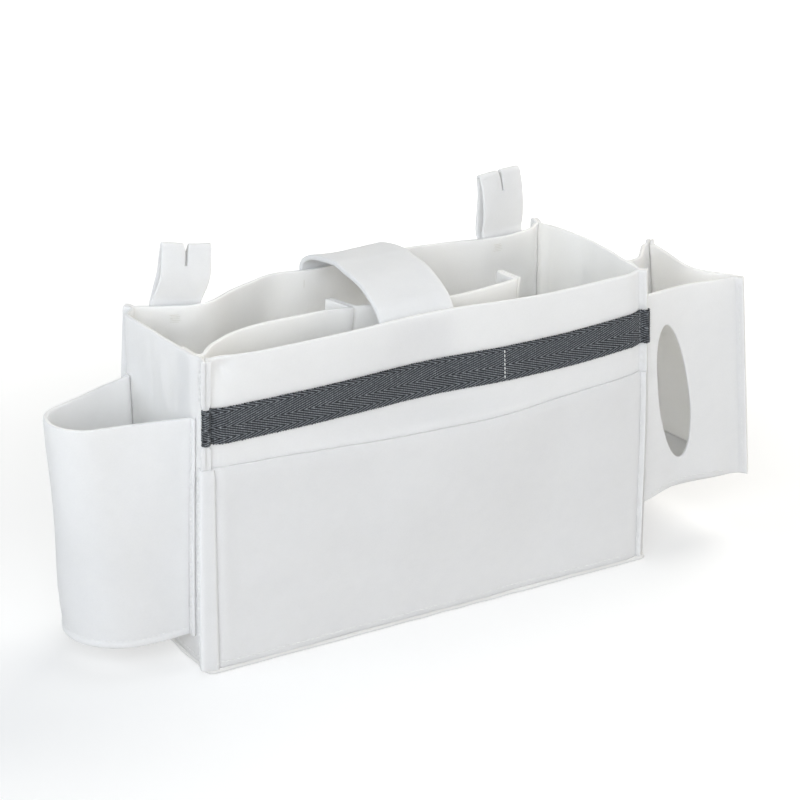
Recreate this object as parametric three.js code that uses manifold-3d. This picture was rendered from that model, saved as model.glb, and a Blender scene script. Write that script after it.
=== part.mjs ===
// Bedside caddy sewn from padded fabric: an open box with a cup pocket on its left end, a tissue pocket
// on its right end, a flat pocket and a webbing band on its front, inner dividers, a carrying strap and
// two hanging loops. Millimetres, +Z up, +X to the right and +Y to the back, origin under the box's base.
import * as THREE from 'three';
import { mergeVertices } from 'three/addons/utils/BufferGeometryUtils.js';
import Module from 'manifold-3d';

// Fabric and sewing
const fabric = 3; // thickness of a padded panel
const gap = 0.3; // clearance between layers that lie face to face
const seamMargin = 6.5; // width of the margins that stand out at a pinched corner seam
const patchMargin = 8; // width of the margins that lie flat on the wall a pocket is sewn to

// Main box, between its corner seams
const bodyLength = 350;
const bodyDepth = 116;
const bodyHeight = 225;
const baseLip = 6.5; // reach of the base panel past the seams
const baseCornerRadius = 4;
const footHeight = 90; // the walls stand straight up to here and lean above it
const waveDrop = 25; // the walls' top waves have their full depth from this far under the top edge
const rearLeanFull = 170; // the rear right corner has leaned fully from here up
const cornerRound = 12; // length over which a wall swells out of its corner seam
const wallSwell = 3.4; // how far the foot of a wall stands outside the line between its seams

// How far each corner seam's top has moved from its foot, to the right and to the back
const frontLeftLean = [6, -4];
const frontRightLean = [-5, 0];
const backLeftLean = [4, -7];
const backRightLean = [-6, 10];

// Swell of each wall at its top edge, outwards from the line between its seams
const frontTopSwell = 5;
const backTopSwell = 0.5;
const leftTopSwell = 9;
const rightTopSwell = 3;

// Hanging loops: folded strips behind the back wall
const loopWidth = 34.5;
const loopFabric = 2.6;
const loopAnchorDrop = 26; // from the walls' top edge down to the foot of the sewn ends
const loopHingeDrop = 5.5; // from the walls' top edge down to the line that a loop folds back about
const loopBend = 1.8; // bend radius of the strip at its sewn root
const loopFold = 2.4; // bend radius of the strip at its top fold
const loopFlare = 11; // how far the rear leg of the strip bows out
const loopBow = 6; // how far the front leg of the strip bows forwards above the wall
const loopStraight = 9; // straight foot of the front leg
const loopRootGap = 0.9; // clearance under a loop's root, so that it can fold back
const slitWidth = 1.6;
const slitDepth = 15;
const leftLoopInset = 32; // from the left seams to the middle of the left loop
const leftLoopRise = 41; // from the walls' top edge up to the fold
const leftLoopTurn = -16; // degrees, turned with the wall that it is sewn to
const leftLoopLean = 7; // degrees, sideways lean of the strip above its root
const rightLoopInset = 43;
const rightLoopRise = 48;
const rightLoopTurn = 0;
const rightLoopLean = -3;

// Carrying strap, from outside the back wall over the box to inside the front wall
const strapWidth = 58;
const strapFabric = 3.8;
const strapInset = 164; // from the left seams to the middle of the strap's front end
const strapSkew = 6; // how far the rear end sits to the right of the front end
const strapSewnDrop = 28; // from the walls' top edge down to the strap's lower ends
const strapCrown = 18; // height of the arch above the walls

// Waves of the soft top edges: depth, half length and place of each, beside the loop or strap that makes it
const leftLoopDip = { depth: -20, half: 48, afterLoop: 11 };
const leftSwell = { depth: 8.5, half: 34, beforeStrap: 51 };
const rightSwell = { depth: 4, half: 30, afterStrap: 59 };
const rightLoopDip = { depth: -12.5, half: 60, afterLoop: 6 };
const strapPinch = { depth: -5, half: 62 };
const rightEndBow = { depth: 6, half: 66, place: 72 };

// Front pocket
const pocketDrop = 76; // from the walls' top edge down to the ends of the pocket's edge
const pocketSag = 5; // dip of the pocket's edge at its middle
const pocketSlack = 9; // how far the pocket's edge stands off the front at its middle

// Webbing band, wrapped round both front corner seams
const webbingWidth = 25;
const webbingFabric = 1.5;
const webbingDrop = 59; // from the walls' top edge down to the band's lower edge
const webbingRise = 4; // lift of the band towards its right end
const webbingRiseLength = 80;
const webbingWrapEnd = 4.5; // from the seam to the cut end behind it

// Cup pocket, a teardrop in plan: two straight sides round a rounded nose
const cupRim = 182;
const cupFloor = 22;
const cupFront = -47; // where its front side meets the left end wall
const cupBack = 39;
const cupMargin = 5;
const cupReach = { foot: 76, rim: 89 };
const cupNose = { foot: 3, rim: -13 };
const cupRadius = { foot: 36, rim: 26 };

// Tissue pocket
const tissueTop = 203;
const tissueFloor = 45;
const tissueReach = { front: 98.5, rear: 94 }; // from the right seams to the outer seams, at the floor
const tissueFrontInset = 3; // the pocket's front, behind the main box's front seam
const tissueDepth = 95; // between the two outer seams
const tissueRearJoin = 79; // from the front seams to the rear panel's join on the right end wall
const tissueFrontLean = [-14, 0];
const tissueRearLean = [-18, -1];
const tissueDip = 6; // sag of the front panel's lower edge beside the main box
const tissueFrontBow = { depth: -3, half: 38, place: 40 };
const tissueEndBow = { depth: -13, half: 40, place: 34 };
const tissueRearBow = { depth: -19, half: 35, place: 35 };
const ovalHeight = 109;
const ovalWidth = 29;
const ovalTilt = 8; // degrees
const ovalInset = 34; // from the right seams to the middle of the hole
const ovalLevel = 122;

// Inner dividers, placed from the front left seam
const dividerDrop = 1; // from the walls' top edge down to the dividers' top
const dividerStart = [9, 14]; // where the left divider turns away from the end wall
const dividerBow = [[23, 29], [54, 39], [88, 44], [112, 42]];
const dividerSeam = [132, 40]; // seam between the two dividers
const dividerSeamMargin = 24;
const dividerSeamTurn = 109; // degrees, direction of the margins behind the seam
const dividerSweep = [[155, 33], [200, 24], [240, 26]];
const dividerEnd = [255, 28]; // free end of the right divider, folded back on itself
const dividerEndMargin = 18;
const dividerEndTurn = 103;

const white = 0xeeeeec;
const charcoal = 0x3b3e44;

const wasm = await Module();
wasm.setup();

const flat = (x, y) => new THREE.Vector2(x, y);
const lerp = THREE.MathUtils.lerp;
const radians = THREE.MathUtils.degToRad;
const smooth = (low, high, x) => THREE.MathUtils.smoothstep(x, low, high);
const rightOf = (v) => flat(v.y, -v.x);
const leftOf = (v) => flat(-v.y, v.x);

// A rounded bump of height 1 at its centre, gone half a length away
function bump(x, centre, half) {
  const t = Math.abs(x - centre) / half;
  return t < 1 ? Math.cos((t * Math.PI) / 2) ** 2 : 0;
}

// Unit offsets to the right of a line, lengthened at bends so that an offset line keeps its distance
function mitres(line) {
  const steps = line.slice(1).map((p, i) => p.clone().sub(line[i]).normalize());
  return line.map((p, i) => {
    const before = rightOf(steps[Math.max(i - 1, 0)]);
    const after = rightOf(steps[Math.min(i, steps.length - 1)]);
    const middle = before.clone().add(after).normalize();
    return middle.divideScalar(middle.dot(before));
  });
}

function offsetLine(line, distance) {
  const sides = mitres(line);
  return line.map((p, i) => p.clone().addScaledVector(sides[i], distance));
}

// Where a line first crosses a height y in plan
function crossing(line, y) {
  for (let i = 1; i < line.length; i += 1) {
    const [a, b] = [line[i - 1], line[i]];
    if ((a.y - y) * (b.y - y) <= 0 && a.y !== b.y) return a.clone().lerp(b, (y - a.y) / (b.y - a.y));
  }
  throw new Error('the line never reaches that place');
}

// Where a line first crosses a length x in plan
function acrossX(line, x) {
  const turned = line.map((p) => flat(p.y, p.x));
  const hit = crossing(turned, x);
  return flat(hit.y, hit.x);
}

// A closed sheet around a grid of points, each with its offset to the sheet's two faces
function sheet(rows, thickness) {
  const across = rows[0].length;
  const positions = [];
  for (const side of [0.5, -0.5]) {
    for (const row of rows) {
      for (const { point, side: offset } of row) {
        positions.push(...point.clone().addScaledVector(offset, side * thickness).toArray());
      }
    }
  }
  const layer = rows.length * across;
  const at = (j, i, face) => face * layer + j * across + i;
  const index = [];
  const quad = (a, b, c, d) => index.push(a, b, c, a, c, d);
  for (let j = 1; j < rows.length; j += 1) {
    for (let i = 1; i < across; i += 1) {
      quad(at(j - 1, i - 1, 0), at(j, i - 1, 0), at(j, i, 0), at(j - 1, i, 0));
      quad(at(j - 1, i - 1, 1), at(j - 1, i, 1), at(j, i, 1), at(j, i - 1, 1));
    }
    quad(at(j - 1, 0, 0), at(j - 1, 0, 1), at(j, 0, 1), at(j, 0, 0));
    quad(at(j - 1, across - 1, 0), at(j, across - 1, 0), at(j, across - 1, 1), at(j - 1, across - 1, 1));
  }
  const last = rows.length - 1;
  for (let i = 1; i < across; i += 1) {
    quad(at(0, i - 1, 0), at(0, i, 0), at(0, i, 1), at(0, i - 1, 1));
    quad(at(last, i - 1, 0), at(last, i - 1, 1), at(last, i, 1), at(last, i, 0));
  }
  return facingOut(positions, index);
}

function facingOut(positions, index) {
  const corner = (k) => new THREE.Vector3().fromArray(positions, 3 * index[k]);
  let volume = 0;
  for (let k = 0; k < index.length; k += 3) volume += corner(k).dot(corner(k + 1).cross(corner(k + 2)));
  const turned = index.map((v, k) => index[k - (k % 3) + [0, 2, 1][k % 3]]);
  const geometry = new THREE.BufferGeometry();
  geometry.setAttribute('position', new THREE.Float32BufferAttribute(positions, 3));
  geometry.setIndex(volume < 0 ? turned : index);
  return geometry;
}

const even = (steps) => Array.from({ length: steps + 1 }, (_, i) => i / steps);
const constant = (value) => () => value;

// Heights of the rows that the walls bend at. What lies on a wall bends at the same rows.
const wallFoot = fabric + gap;
const rowHeights = [wallFoot, ...even(6).map((share) => lerp(footHeight, bodyHeight, share))];

// A value that changes evenly from row to row
const byRows = (value) => (z) => {
  const k = Math.max(rowHeights.findIndex((height) => height >= z), 1);
  const [low, high] = [rowHeights[k - 1], rowHeights[k]];
  return lerp(value(low), value(high), (z - low) / (high - low));
};

// A sheet that stands on edge: its line in plan at each height, between its lower and upper edges
function standing(line, low, high, thickness = fabric) {
  const columns = Array.from(line(low(0)), (_, i) => i);
  const [lowest, highest] = [Math.max(...columns.map(low)), Math.min(...columns.map(high))];
  const between = rowHeights.filter((z) => z > lowest + 2 && z < highest - 2).map(constant);
  const rows = [low, ...between, high].map((height) =>
    columns.map((i) => {
      const z = height(i);
      const plan = line(z);
      const side = mitres(plan)[i];
      return { point: new THREE.Vector3(plan[i].x, plan[i].y, z), side: new THREE.Vector3(side.x, side.y, 0) };
    }),
  );
  return sheet(rows, thickness);
}

function solidOf(geometry) {
  const bare = geometry.clone();
  bare.deleteAttribute('normal');
  bare.deleteAttribute('uv');
  const merged = mergeVertices(bare, 1e-4);
  const vertProperties = merged.attributes.position.array;
  return new wasm.Manifold(new wasm.Mesh({ numProp: 3, vertProperties, triVerts: merged.index.array }));
}

function cut(geometry, tool) {
  const mesh = solidOf(geometry).subtract(solidOf(tool)).getMesh();
  const result = new THREE.BufferGeometry();
  result.setAttribute('position', new THREE.Float32BufferAttribute(mesh.vertProperties, 3));
  result.setIndex(Array.from(mesh.triVerts));
  return result;
}

const caddy = new THREE.Group();

function add(name, geometry, colour = white, parent = caddy, roughness = 0.85) {
  const material = new THREE.MeshStandardMaterial({ color: colour, roughness, metalness: 0 });
  const mesh = new THREE.Mesh(geometry, material);
  mesh.name = name;
  parent.add(mesh);
}

// Corner seams: a foot, a top that has leaned, and the direction that the pinched margins stand out in
function seam(x, y, shift, lean) {
  const foot = flat(x, y);
  const top = foot.clone().add(flat(...shift));
  return { foot, top, lean };
}

const seamAt = ({ foot, top, lean }, z) => foot.clone().lerp(top, lean(z));
const bodyLean = byRows((z) => (Math.max(z - footHeight, 0) / (bodyHeight - footHeight)) ** 1.5);
const rearLean = byRows((z) => smooth(wallFoot, rearLeanFull, z));
const [halfLength, halfDepth] = [bodyLength / 2, bodyDepth / 2];
const pinched = (x, y, shift, lean, out) => ({ ...seam(x, y, shift, lean), out: flat(...out).normalize() });
const frontLeft = pinched(-halfLength, -halfDepth, frontLeftLean, bodyLean, [-1, -1]);
const frontRight = pinched(halfLength, -halfDepth, frontRightLean, bodyLean, [1, -1]);
const backRight = pinched(halfLength, halfDepth, backRightLean, rearLean, [0.1, 1]);
const backLeft = pinched(-halfLength, halfDepth, backLeftLean, bodyLean, [-1, 1]);
const layerHalf = (fabric + gap) / 2; // from a seam's middle to the middle of the layer beside it

// A wall's face between two seams: stations along it, close together where it swells out of its corners
function stations(length, count) {
  const near = [0.35, 0.7].map((share) => share * cornerRound);
  const middle = even(count).map((share) => lerp(cornerRound, length - cornerRound, share));
  return [...near, ...middle, ...near.map((d) => length - d).reverse()];
}

function faceLine(from, to, count, swell) {
  const along = to.clone().sub(from);
  const length = along.length();
  along.divideScalar(length);
  const out = rightOf(along);
  return stations(length, count).map((d) => {
    const rise = smooth(0, cornerRound, Math.min(d, length - d));
    const stand = lerp(layerHalf * Math.SQRT1_2, swell(d, length), rise);
    return from.clone().addScaledVector(along, d).addScaledVector(out, stand);
  });
}

const marginStart = ({ out }, root) => {
  const bend = root.clone().addScaledVector(leftOf(out), layerHalf);
  return [bend.clone().addScaledVector(out, seamMargin), bend];
};
const marginEnd = ({ out }, root) => {
  const bend = root.clone().addScaledVector(rightOf(out), layerHalf);
  return [bend, bend.clone().addScaledVector(out, seamMargin)];
};

// The four walls run anticlockwise in plan, so that their outside is on the right
function wallLine(from, to, count, swellAt) {
  return (z) => {
    const [a, b] = [seamAt(from, z), seamAt(to, z)];
    const swell = (d, length) => swellAt(z, d, length);
    return [...marginStart(from, a), ...faceLine(a, b, count, swell), ...marginEnd(to, b)];
  };
}

const waveShare = byRows((z) => smooth(footHeight, bodyHeight - waveDrop, z));
const wave = ({ depth, half, place }, d) => depth * bump(d, place, half);

const frontLine = wallLine(frontLeft, frontRight, 12, (z, d) => {
  const pinch = strapPinch.depth * bump(d, strapInset + strapSkew, strapPinch.half);
  return lerp(wallSwell, frontTopSwell, bodyLean(z)) + waveShare(z) * pinch;
});
const rightLine = wallLine(frontRight, backRight, 7, (z, d) => {
  return lerp(wallSwell, rightTopSwell, bodyLean(z)) + waveShare(z) * wave(rightEndBow, d);
});
const backLine = wallLine(backRight, backLeft, 22, (z, d, length) => {
  const fromLeft = length - d;
  const waves =
    leftLoopDip.depth * bump(fromLeft, leftLoopInset + leftLoopDip.afterLoop, leftLoopDip.half) +
    leftSwell.depth * bump(fromLeft, strapInset - leftSwell.beforeStrap, leftSwell.half) +
    rightSwell.depth * bump(fromLeft, strapInset + rightSwell.afterStrap, rightSwell.half) +
    rightLoopDip.depth * bump(d, rightLoopInset - rightLoopDip.afterLoop, rightLoopDip.half);
  return lerp(wallSwell, backTopSwell, bodyLean(z)) + waveShare(z) * waves;
});
const leftLine = wallLine(backLeft, frontLeft, 6, (z) => lerp(wallSwell, leftTopSwell, bodyLean(z)));

const walls = {
  front_panel: frontLine,
  right_end_panel: rightLine,
  back_panel: backLine,
  left_end_panel: leftLine,
};
for (const [name, line] of Object.entries(walls)) {
  add(name, standing(line, constant(wallFoot), constant(bodyHeight)));
}

function roundedRectangle(length, depth, radius) {
  const [x, y] = [length / 2, depth / 2];
  const shape = new THREE.Shape();
  shape.absarc(x - radius, y - radius, radius, 0, Math.PI / 2);
  shape.absarc(radius - x, y - radius, radius, Math.PI / 2, Math.PI);
  shape.absarc(radius - x, radius - y, radius, Math.PI, 1.5 * Math.PI);
  shape.absarc(x - radius, radius - y, radius, 1.5 * Math.PI, 2 * Math.PI);
  return shape;
}

const plateForm = { depth: fabric, bevelEnabled: false, curveSegments: 4 };
const plate = (shape) => new THREE.ExtrudeGeometry(shape, plateForm);
const baseShape = roundedRectangle(bodyLength + 2 * baseLip, bodyDepth + 2 * baseLip, baseCornerRadius);
add('base_panel', plate(baseShape));

// Front pocket: a second layer over the front, caught in the same seams, slack along its upper edge
const pocketTop = bodyHeight - pocketDrop;
const pocketEdge = (x) => pocketTop - pocketSag * bump(x, 0, halfLength);
const pocketLine = (z) =>
  offsetLine(frontLine(z), fabric + gap).map((p) => {
    const slack = pocketSlack * bump(p.x, 0, halfLength - cornerRound) * smooth(wallFoot, pocketTop, z);
    return p.setY(p.y - slack);
  });
const pocketFeet = pocketLine(wallFoot);
const pocketHigh = (i) => pocketEdge(pocketFeet[i].x);
add('front_pocket_panel', standing(pocketLine, constant(wallFoot), pocketHigh));

// Webbing: on the front's outside, then round both pinched margins
const webbingStand = fabric / 2 + gap + webbingFabric / 2;
const wrap = ({ out }, root, side) => {
  const stand = layerHalf + webbingStand;
  const tip = seamMargin + gap + webbingFabric / 2;
  const place = (away, across) => root.clone().addScaledVector(out, away).addScaledVector(side, across);
  return [place(webbingWrapEnd, -stand), place(tip, -stand), place(tip, stand)];
};
const webbingLine = (z) => {
  const face = offsetLine(frontLine(z), webbingStand).slice(1, -1);
  const start = wrap(frontLeft, seamAt(frontLeft, z), leftOf(frontLeft.out));
  const end = wrap(frontRight, seamAt(frontRight, z), rightOf(frontRight.out)).reverse();
  return [...start, ...face, ...end];
};
const webbingLow = bodyHeight - webbingDrop;
const webbingPlaces = webbingLine(webbingLow);
const riseStart = halfLength - webbingRiseLength;
const webbingFoot = (i) => webbingLow + webbingRise * smooth(riseStart, halfLength, webbingPlaces[i].x);
const webbingHigh = (i) => webbingFoot(i) + webbingWidth;
add('front_webbing', standing(webbingLine, webbingFoot, webbingHigh, webbingFabric), charcoal);

// Cup pocket: margins flat on the left end wall, and a teardrop between them
function cupLine(z) {
  const share = (z - cupFloor) / (cupRim - cupFloor);
  const radius = lerp(cupRadius.foot, cupRadius.rim, share);
  const nose = flat(
    -halfLength - lerp(cupReach.foot, cupReach.rim, share) + radius,
    lerp(cupNose.foot, cupNose.rim, share),
  );
  const wall = offsetLine(leftLine(z), fabric + gap).slice(2, -2);
  const joins = [cupFront, cupBack].map((y) => crossing(wall, y));
  const margin = (y, step) => [1, 0.67, 0.33].map((share) => crossing(wall, y + share * step * cupMargin));
  const touch = (join, turn) => {
    const toNose = nose.clone().sub(join);
    const lift = Math.asin(radius / toNose.length());
    return toNose.angle() + turn * (Math.PI / 2 + lift);
  };
  const [from, to] = [touch(joins[0], 1), touch(joins[1], -1)];
  const sweep = THREE.MathUtils.euclideanModulo(from - to, 2 * Math.PI);
  const arc = even(14).map((s) => {
    const angle = from - sweep * s;
    return nose.clone().add(flat(radius * Math.cos(angle), radius * Math.sin(angle)));
  });
  const side = (a, b) => [0.33, 0.67].map((s) => a.clone().lerp(b, s));
  return [
    ...margin(cupFront, -1),
    joins[0],
    ...side(joins[0], arc[0]),
    ...arc,
    ...side(arc[arc.length - 1], joins[1]),
    joins[1],
    ...margin(cupBack, 1).reverse(),
  ];
}
add('cup_pocket_wall', standing(cupLine, constant(cupFloor), constant(cupRim)));

const cupBase = offsetLine(cupLine(cupFloor + fabric / 2).slice(3, -3), fabric / 2 + 2 * gap);
const cupBaseShape = new THREE.Shape(cupBase.map((p) => flat(Math.min(p.x, cupBase[0].x - gap), p.y)));
add('cup_pocket_base', plate(cupBaseShape).translate(0, 0, cupFloor));

// Tissue pocket: three panels with pinched outer seams, and margins flat on the right end wall
const tissueLean = (z) => (z - tissueFloor) / (tissueTop - tissueFloor);
const tissueFrontY = tissueFrontInset - halfDepth;
const tissueFront = pinched(halfLength + tissueReach.front, tissueFrontY, tissueFrontLean, tissueLean, [1, -1]);
const tissueRearY = tissueFrontY + tissueDepth;
const tissueRear = pinched(halfLength + tissueReach.rear, tissueRearY, tissueRearLean, tissueLean, [1, 1]);
const rightWallJoin = (z, y) => crossing(offsetLine(rightLine(z), fabric + gap).slice(2, -2), y);
const tissueWave = (z) => Math.max(tissueLean(z), 0) ** 1.3;
const tissueMargin = cornerRound + tissueFrontInset;

const tissueFrontLine = (z) => {
  const margin = rightWallJoin(z, tissueFrontY + tissueMargin);
  const join = flat(margin.x, tissueFrontY);
  const outer = seamAt(tissueFront, z);
  const face = faceLine(join, outer, 5, (d) => wave(tissueFrontBow, d));
  return [margin, join, ...face.slice(2), ...marginEnd(tissueFront, outer)];
};
const tissueEndLine = (z) => {
  const [a, b] = [seamAt(tissueFront, z), seamAt(tissueRear, z)];
  const face = faceLine(a, b, 7, (d) => layerHalf + tissueWave(z) * wave(tissueEndBow, d));
  return [...marginStart(tissueFront, a), ...face, ...marginEnd(tissueRear, b)];
};
const tissueBackLine = (z) => {
  const rearY = tissueRearJoin - halfDepth;
  const join = rightWallJoin(z, rearY);
  const margin = rightWallJoin(z, rearY - patchMargin);
  const outer = seamAt(tissueRear, z);
  const face = faceLine(outer, join, 6, (d) => layerHalf + tissueWave(z) * wave(tissueRearBow, d));
  return [...marginStart(tissueRear, outer), ...face.slice(0, -2), join, margin];
};
const tissuePanel = (line, low = constant(tissueFloor)) => standing(line, low, constant(tissueTop));
const tissueFeet = tissueFrontLine(tissueFloor);
const tissueSag = (x) => tissueDip * bump(x, tissueFeet[1].x, tissueReach.front / 2);
const tissueFrontFoot = (i) => tissueFloor - tissueSag(tissueFeet[i].x);

const oval = new THREE.Shape();
oval.absellipse(0, 0, ovalWidth / 2, ovalHeight / 2, 0, 2 * Math.PI, false, radians(ovalTilt));
const ovalDepth = tissueDepth / 2;
const ovalTool = new THREE.ExtrudeGeometry(oval, { depth: ovalDepth, bevelEnabled: false, curveSegments: 32 });
ovalTool.rotateX(Math.PI / 2).translate(halfLength + ovalInset, tissueFrontY + ovalDepth / 2, ovalLevel);
add('tissue_front_panel', cut(tissuePanel(tissueFrontLine, tissueFrontFoot), ovalTool));
add('tissue_end_panel', tissuePanel(tissueEndLine));
add('tissue_back_panel', tissuePanel(tissueBackLine));

const tissueBaseLevel = tissueFloor + fabric / 2;
const inside = (line, from, to) => offsetLine(line(tissueBaseLevel), -fabric / 2 - gap).slice(from, to);
const tissueBaseEdge = rightWallJoin(tissueBaseLevel, tissueFrontY + tissueMargin).x + fabric / 2 + gap;
const insideCorner = (corner) => seamAt(corner, tissueBaseLevel).addScaledVector(corner.out, -fabric);
const insideFront = inside(tissueFrontLine, 1, -4);
const insideRear = inside(tissueBackLine, 4, -1);
const tissueBaseOutline = [
  acrossX(insideFront, tissueBaseEdge),
  ...insideFront.filter((p) => p.x > tissueBaseEdge),
  insideCorner(tissueFront),
  ...inside(tissueEndLine, 4, -4),
  insideCorner(tissueRear),
  ...insideRear.filter((p) => p.x > tissueBaseEdge),
  acrossX(insideRear, tissueBaseEdge),
];
add('tissue_base_panel', plate(new THREE.Shape(tissueBaseOutline)).translate(0, 0, tissueFloor));

// Inner dividers: the left one starts flat on the end wall, and their seam's margins stand backwards
const spline = (points, count) => {
  const curve = new THREE.CatmullRomCurve3(points.map((p) => new THREE.Vector3(p.x, p.y, 0)));
  return curve.getSpacedPoints(count).map((p) => flat(p.x, p.y));
};
const fromCorner = (z) => ([x, y]) => seamAt(frontLeft, z).add(flat(x, y));
const heading = (degrees) => flat(Math.cos(radians(degrees)), Math.sin(radians(degrees)));

const dividerLeftLine = (z) => {
  const place = fromCorner(z);
  const wall = offsetLine(leftLine(z), -fabric - gap).slice(2, -2);
  const corner = seamAt(frontLeft, z);
  const start = crossing(wall, corner.y + cornerRound);
  const turn = place(dividerStart).setX(Math.max(place(dividerStart).x, start.x + gap));
  const back = heading(dividerSeamTurn);
  const bend = place(dividerSeam).addScaledVector(leftOf(back), layerHalf);
  const face = spline([start, turn, ...dividerBow.map(place), bend], 14);
  return [...face, bend.clone().addScaledVector(back, dividerSeamMargin)];
};
const dividerRightLine = (z) => {
  const place = fromCorner(z);
  const back = heading(dividerSeamTurn);
  const bend = place(dividerSeam).addScaledVector(rightOf(back), layerHalf);
  const fold = heading(dividerEndTurn);
  const end = [1, -1].map((side) => place(dividerEnd).addScaledVector(leftOf(fold), side * layerHalf));
  const tips = end.map((p) => p.clone().addScaledVector(fold, dividerEndMargin));
  const face = spline([bend, ...dividerSweep.map(place), end[0]], 12);
  return [bend.clone().addScaledVector(back, dividerSeamMargin), ...face, tips[0], tips[1], end[1]];
};
const dividers = { divider_left_panel: dividerLeftLine, divider_right_panel: dividerRightLine };
for (const [name, line] of Object.entries(dividers)) {
  add(name, standing(line, constant(wallFoot), constant(bodyHeight - dividerDrop)));
}

// How far back a wall reaches between two lengths of X and two heights
function wallReach(line, left, right, low, high) {
  const places = even(10).flatMap((rise) => {
    const face = line(lerp(low, high, rise)).slice(2, -2);
    return even(30).map((share) => acrossX(face, lerp(left, right, share)).y);
  });
  return Math.max(...places);
}

// Carrying strap: its side view runs up the back wall, over the arch and down inside the front wall
const strapX = strapInset - halfLength;
const strapEdges = [strapX - strapWidth / 2, strapX + strapWidth / 2];
const strapStand = fabric / 2 + gap + strapFabric / 2;
const rearEdges = strapEdges.map((x) => x + strapSkew);
const strapSewnLow = bodyHeight - strapSewnDrop;
const strapRear = wallReach(backLine, ...rearEdges, strapSewnLow, bodyHeight) + strapStand;
const strapFront = wallReach(frontLine, ...strapEdges, strapSewnLow, bodyHeight) + strapStand;
const strapSpan = strapRear - strapFront;
const overStrap = (back, rise) => flat(strapFront + back * strapSpan, bodyHeight + rise * strapCrown);
const strapArch = spline(
  [
    overStrap(1, 0.03),
    overStrap(0.985, 0.22),
    overStrap(0.945, 0.43),
    overStrap(0.83, 0.75),
    overStrap(0.6, 1),
    overStrap(0.36, 0.95),
    overStrap(0.18, 0.66),
    overStrap(0.06, 0.27),
    overStrap(0, -0.15),
  ],
  26,
);
const strapSide = [flat(strapRear, strapSewnLow), ...strapArch, flat(strapFront, strapSewnLow)];
const strapSides = mitres(strapSide);
const strapRows = strapEdges.map((x) =>
  strapSide.map((p, i) => ({
    point: new THREE.Vector3(x + (strapSkew * (p.x - strapFront)) / strapSpan, p.x, p.y),
    side: new THREE.Vector3(0, strapSides[i].x, strapSides[i].y),
  })),
);
add('handle_strap', sheet(strapRows, strapFabric));

// Hanging loops: sewn ends that follow the back wall, and a folded strip that can fold back above them
const acrossBack = new THREE.Matrix4().makeBasis(
  new THREE.Vector3(0, 1, 0),
  new THREE.Vector3(0, 0, 1),
  new THREE.Vector3(1, 0, 0),
);

const loopHinge = bodyHeight - loopHingeDrop;

// A loop's side view, as distances behind the wall and heights: a round root, two legs and a tight fold
function loopProfile(top) {
  const front = loopFabric / 2 + gap;
  const foldMiddle = top - loopFold - loopFabric / 2;
  const path = new THREE.Path();
  path.absarc(front + loopBend, loopHinge, loopBend, Math.PI, 2 * Math.PI);
  const reach = (foldMiddle - loopHinge) / 2;
  path.bezierCurveTo(
    front + 2 * loopBend,
    loopHinge + reach,
    front + 2 * loopFold + loopFlare,
    foldMiddle - reach,
    front + 2 * loopFold,
    foldMiddle,
  );
  path.absarc(front + loopFold, foldMiddle, loopFold, 0, Math.PI);
  const straightTop = loopHinge + loopStraight;
  path.bezierCurveTo(
    front - loopBow,
    lerp(foldMiddle, straightTop, 0.4),
    front - loopBow / 2,
    lerp(foldMiddle, straightTop, 0.8),
    front,
    straightTop,
  );
  path.lineTo(front, loopHinge);
  return path.getPoints(8).slice(0, -1);
}

function ring(points, thickness) {
  const closed = [points[points.length - 1], ...points, points[0]];
  const offset = (distance) => offsetLine(closed, distance).slice(1, -1);
  const shape = new THREE.Shape(offset(thickness / 2));
  shape.holes.push(new THREE.Path(offset(-thickness / 2)));
  return shape;
}

function hangingLoop(side, x, top, turn, lean) {
  const [left, right] = [x - loopWidth / 2, x + loopWidth / 2];
  const anchorHigh = loopHinge - loopBend - loopFabric / 2 - loopRootGap;
  const layers = 2 * loopFabric + gap;
  const wallStand = (fabric + layers) / 2 + gap;
  const anchorLine = (z) => {
    const face = offsetLine(backLine(z), wallStand).slice(2, -2);
    return even(5).map((share) => acrossX(face, lerp(right, left, share)));
  };
  const anchorLow = bodyHeight - loopAnchorDrop;
  add(`loop_anchor_${side}`, standing(anchorLine, constant(anchorLow), constant(anchorHigh), layers));
  const frame = new THREE.Group();
  const tilt = radians(turn);
  const stand = even(8).map((s) => {
    const edge = lerp(left, right, s);
    return acrossX(backLine(bodyHeight).slice(2, -2), edge).y - (edge - x) * Math.tan(tilt);
  });
  frame.position.set(x, Math.max(...stand) + fabric / 2 / Math.cos(tilt), 0);
  frame.rotation.z = tilt;
  const profile = ring(loopProfile(top), loopFabric);
  const strip = new THREE.ExtrudeGeometry(profile, { depth: loopWidth, bevelEnabled: false });
  strip.translate(0, 0, -loopWidth / 2).applyMatrix4(acrossBack);
  const slit = new THREE.BoxGeometry(slitWidth, 6 * loopFlare, 2 * slitDepth).translate(0, 0, top);
  const loop = cut(strip, slit);
  const place = loop.attributes.position;
  for (let i = 0; i < place.count; i += 1) {
    const rise = Math.max(place.getZ(i) - loopHinge, 0);
    const angle = radians(lean) * smooth(0, loopStraight, rise);
    const across = place.getX(i);
    place.setX(i, across * Math.cos(angle) + rise * Math.sin(angle));
    place.setZ(i, place.getZ(i) + rise * (Math.cos(angle) - 1) - across * Math.sin(angle));
  }
  add(`hanging_loop_${side}`, loop, white, frame);
  caddy.add(frame);
}

hangingLoop('left', leftLoopInset - halfLength, bodyHeight + leftLoopRise, leftLoopTurn, leftLoopLean);
hangingLoop('right', halfLength - rightLoopInset, bodyHeight + rightLoopRise, rightLoopTurn, rightLoopLean);

export default caddy;
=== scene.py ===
"""White fabric bedside caddy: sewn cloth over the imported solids, in millimetres until a mesh is made."""
import math

import bpy
import numpy as np
from mathutils import Matrix, Vector

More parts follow.
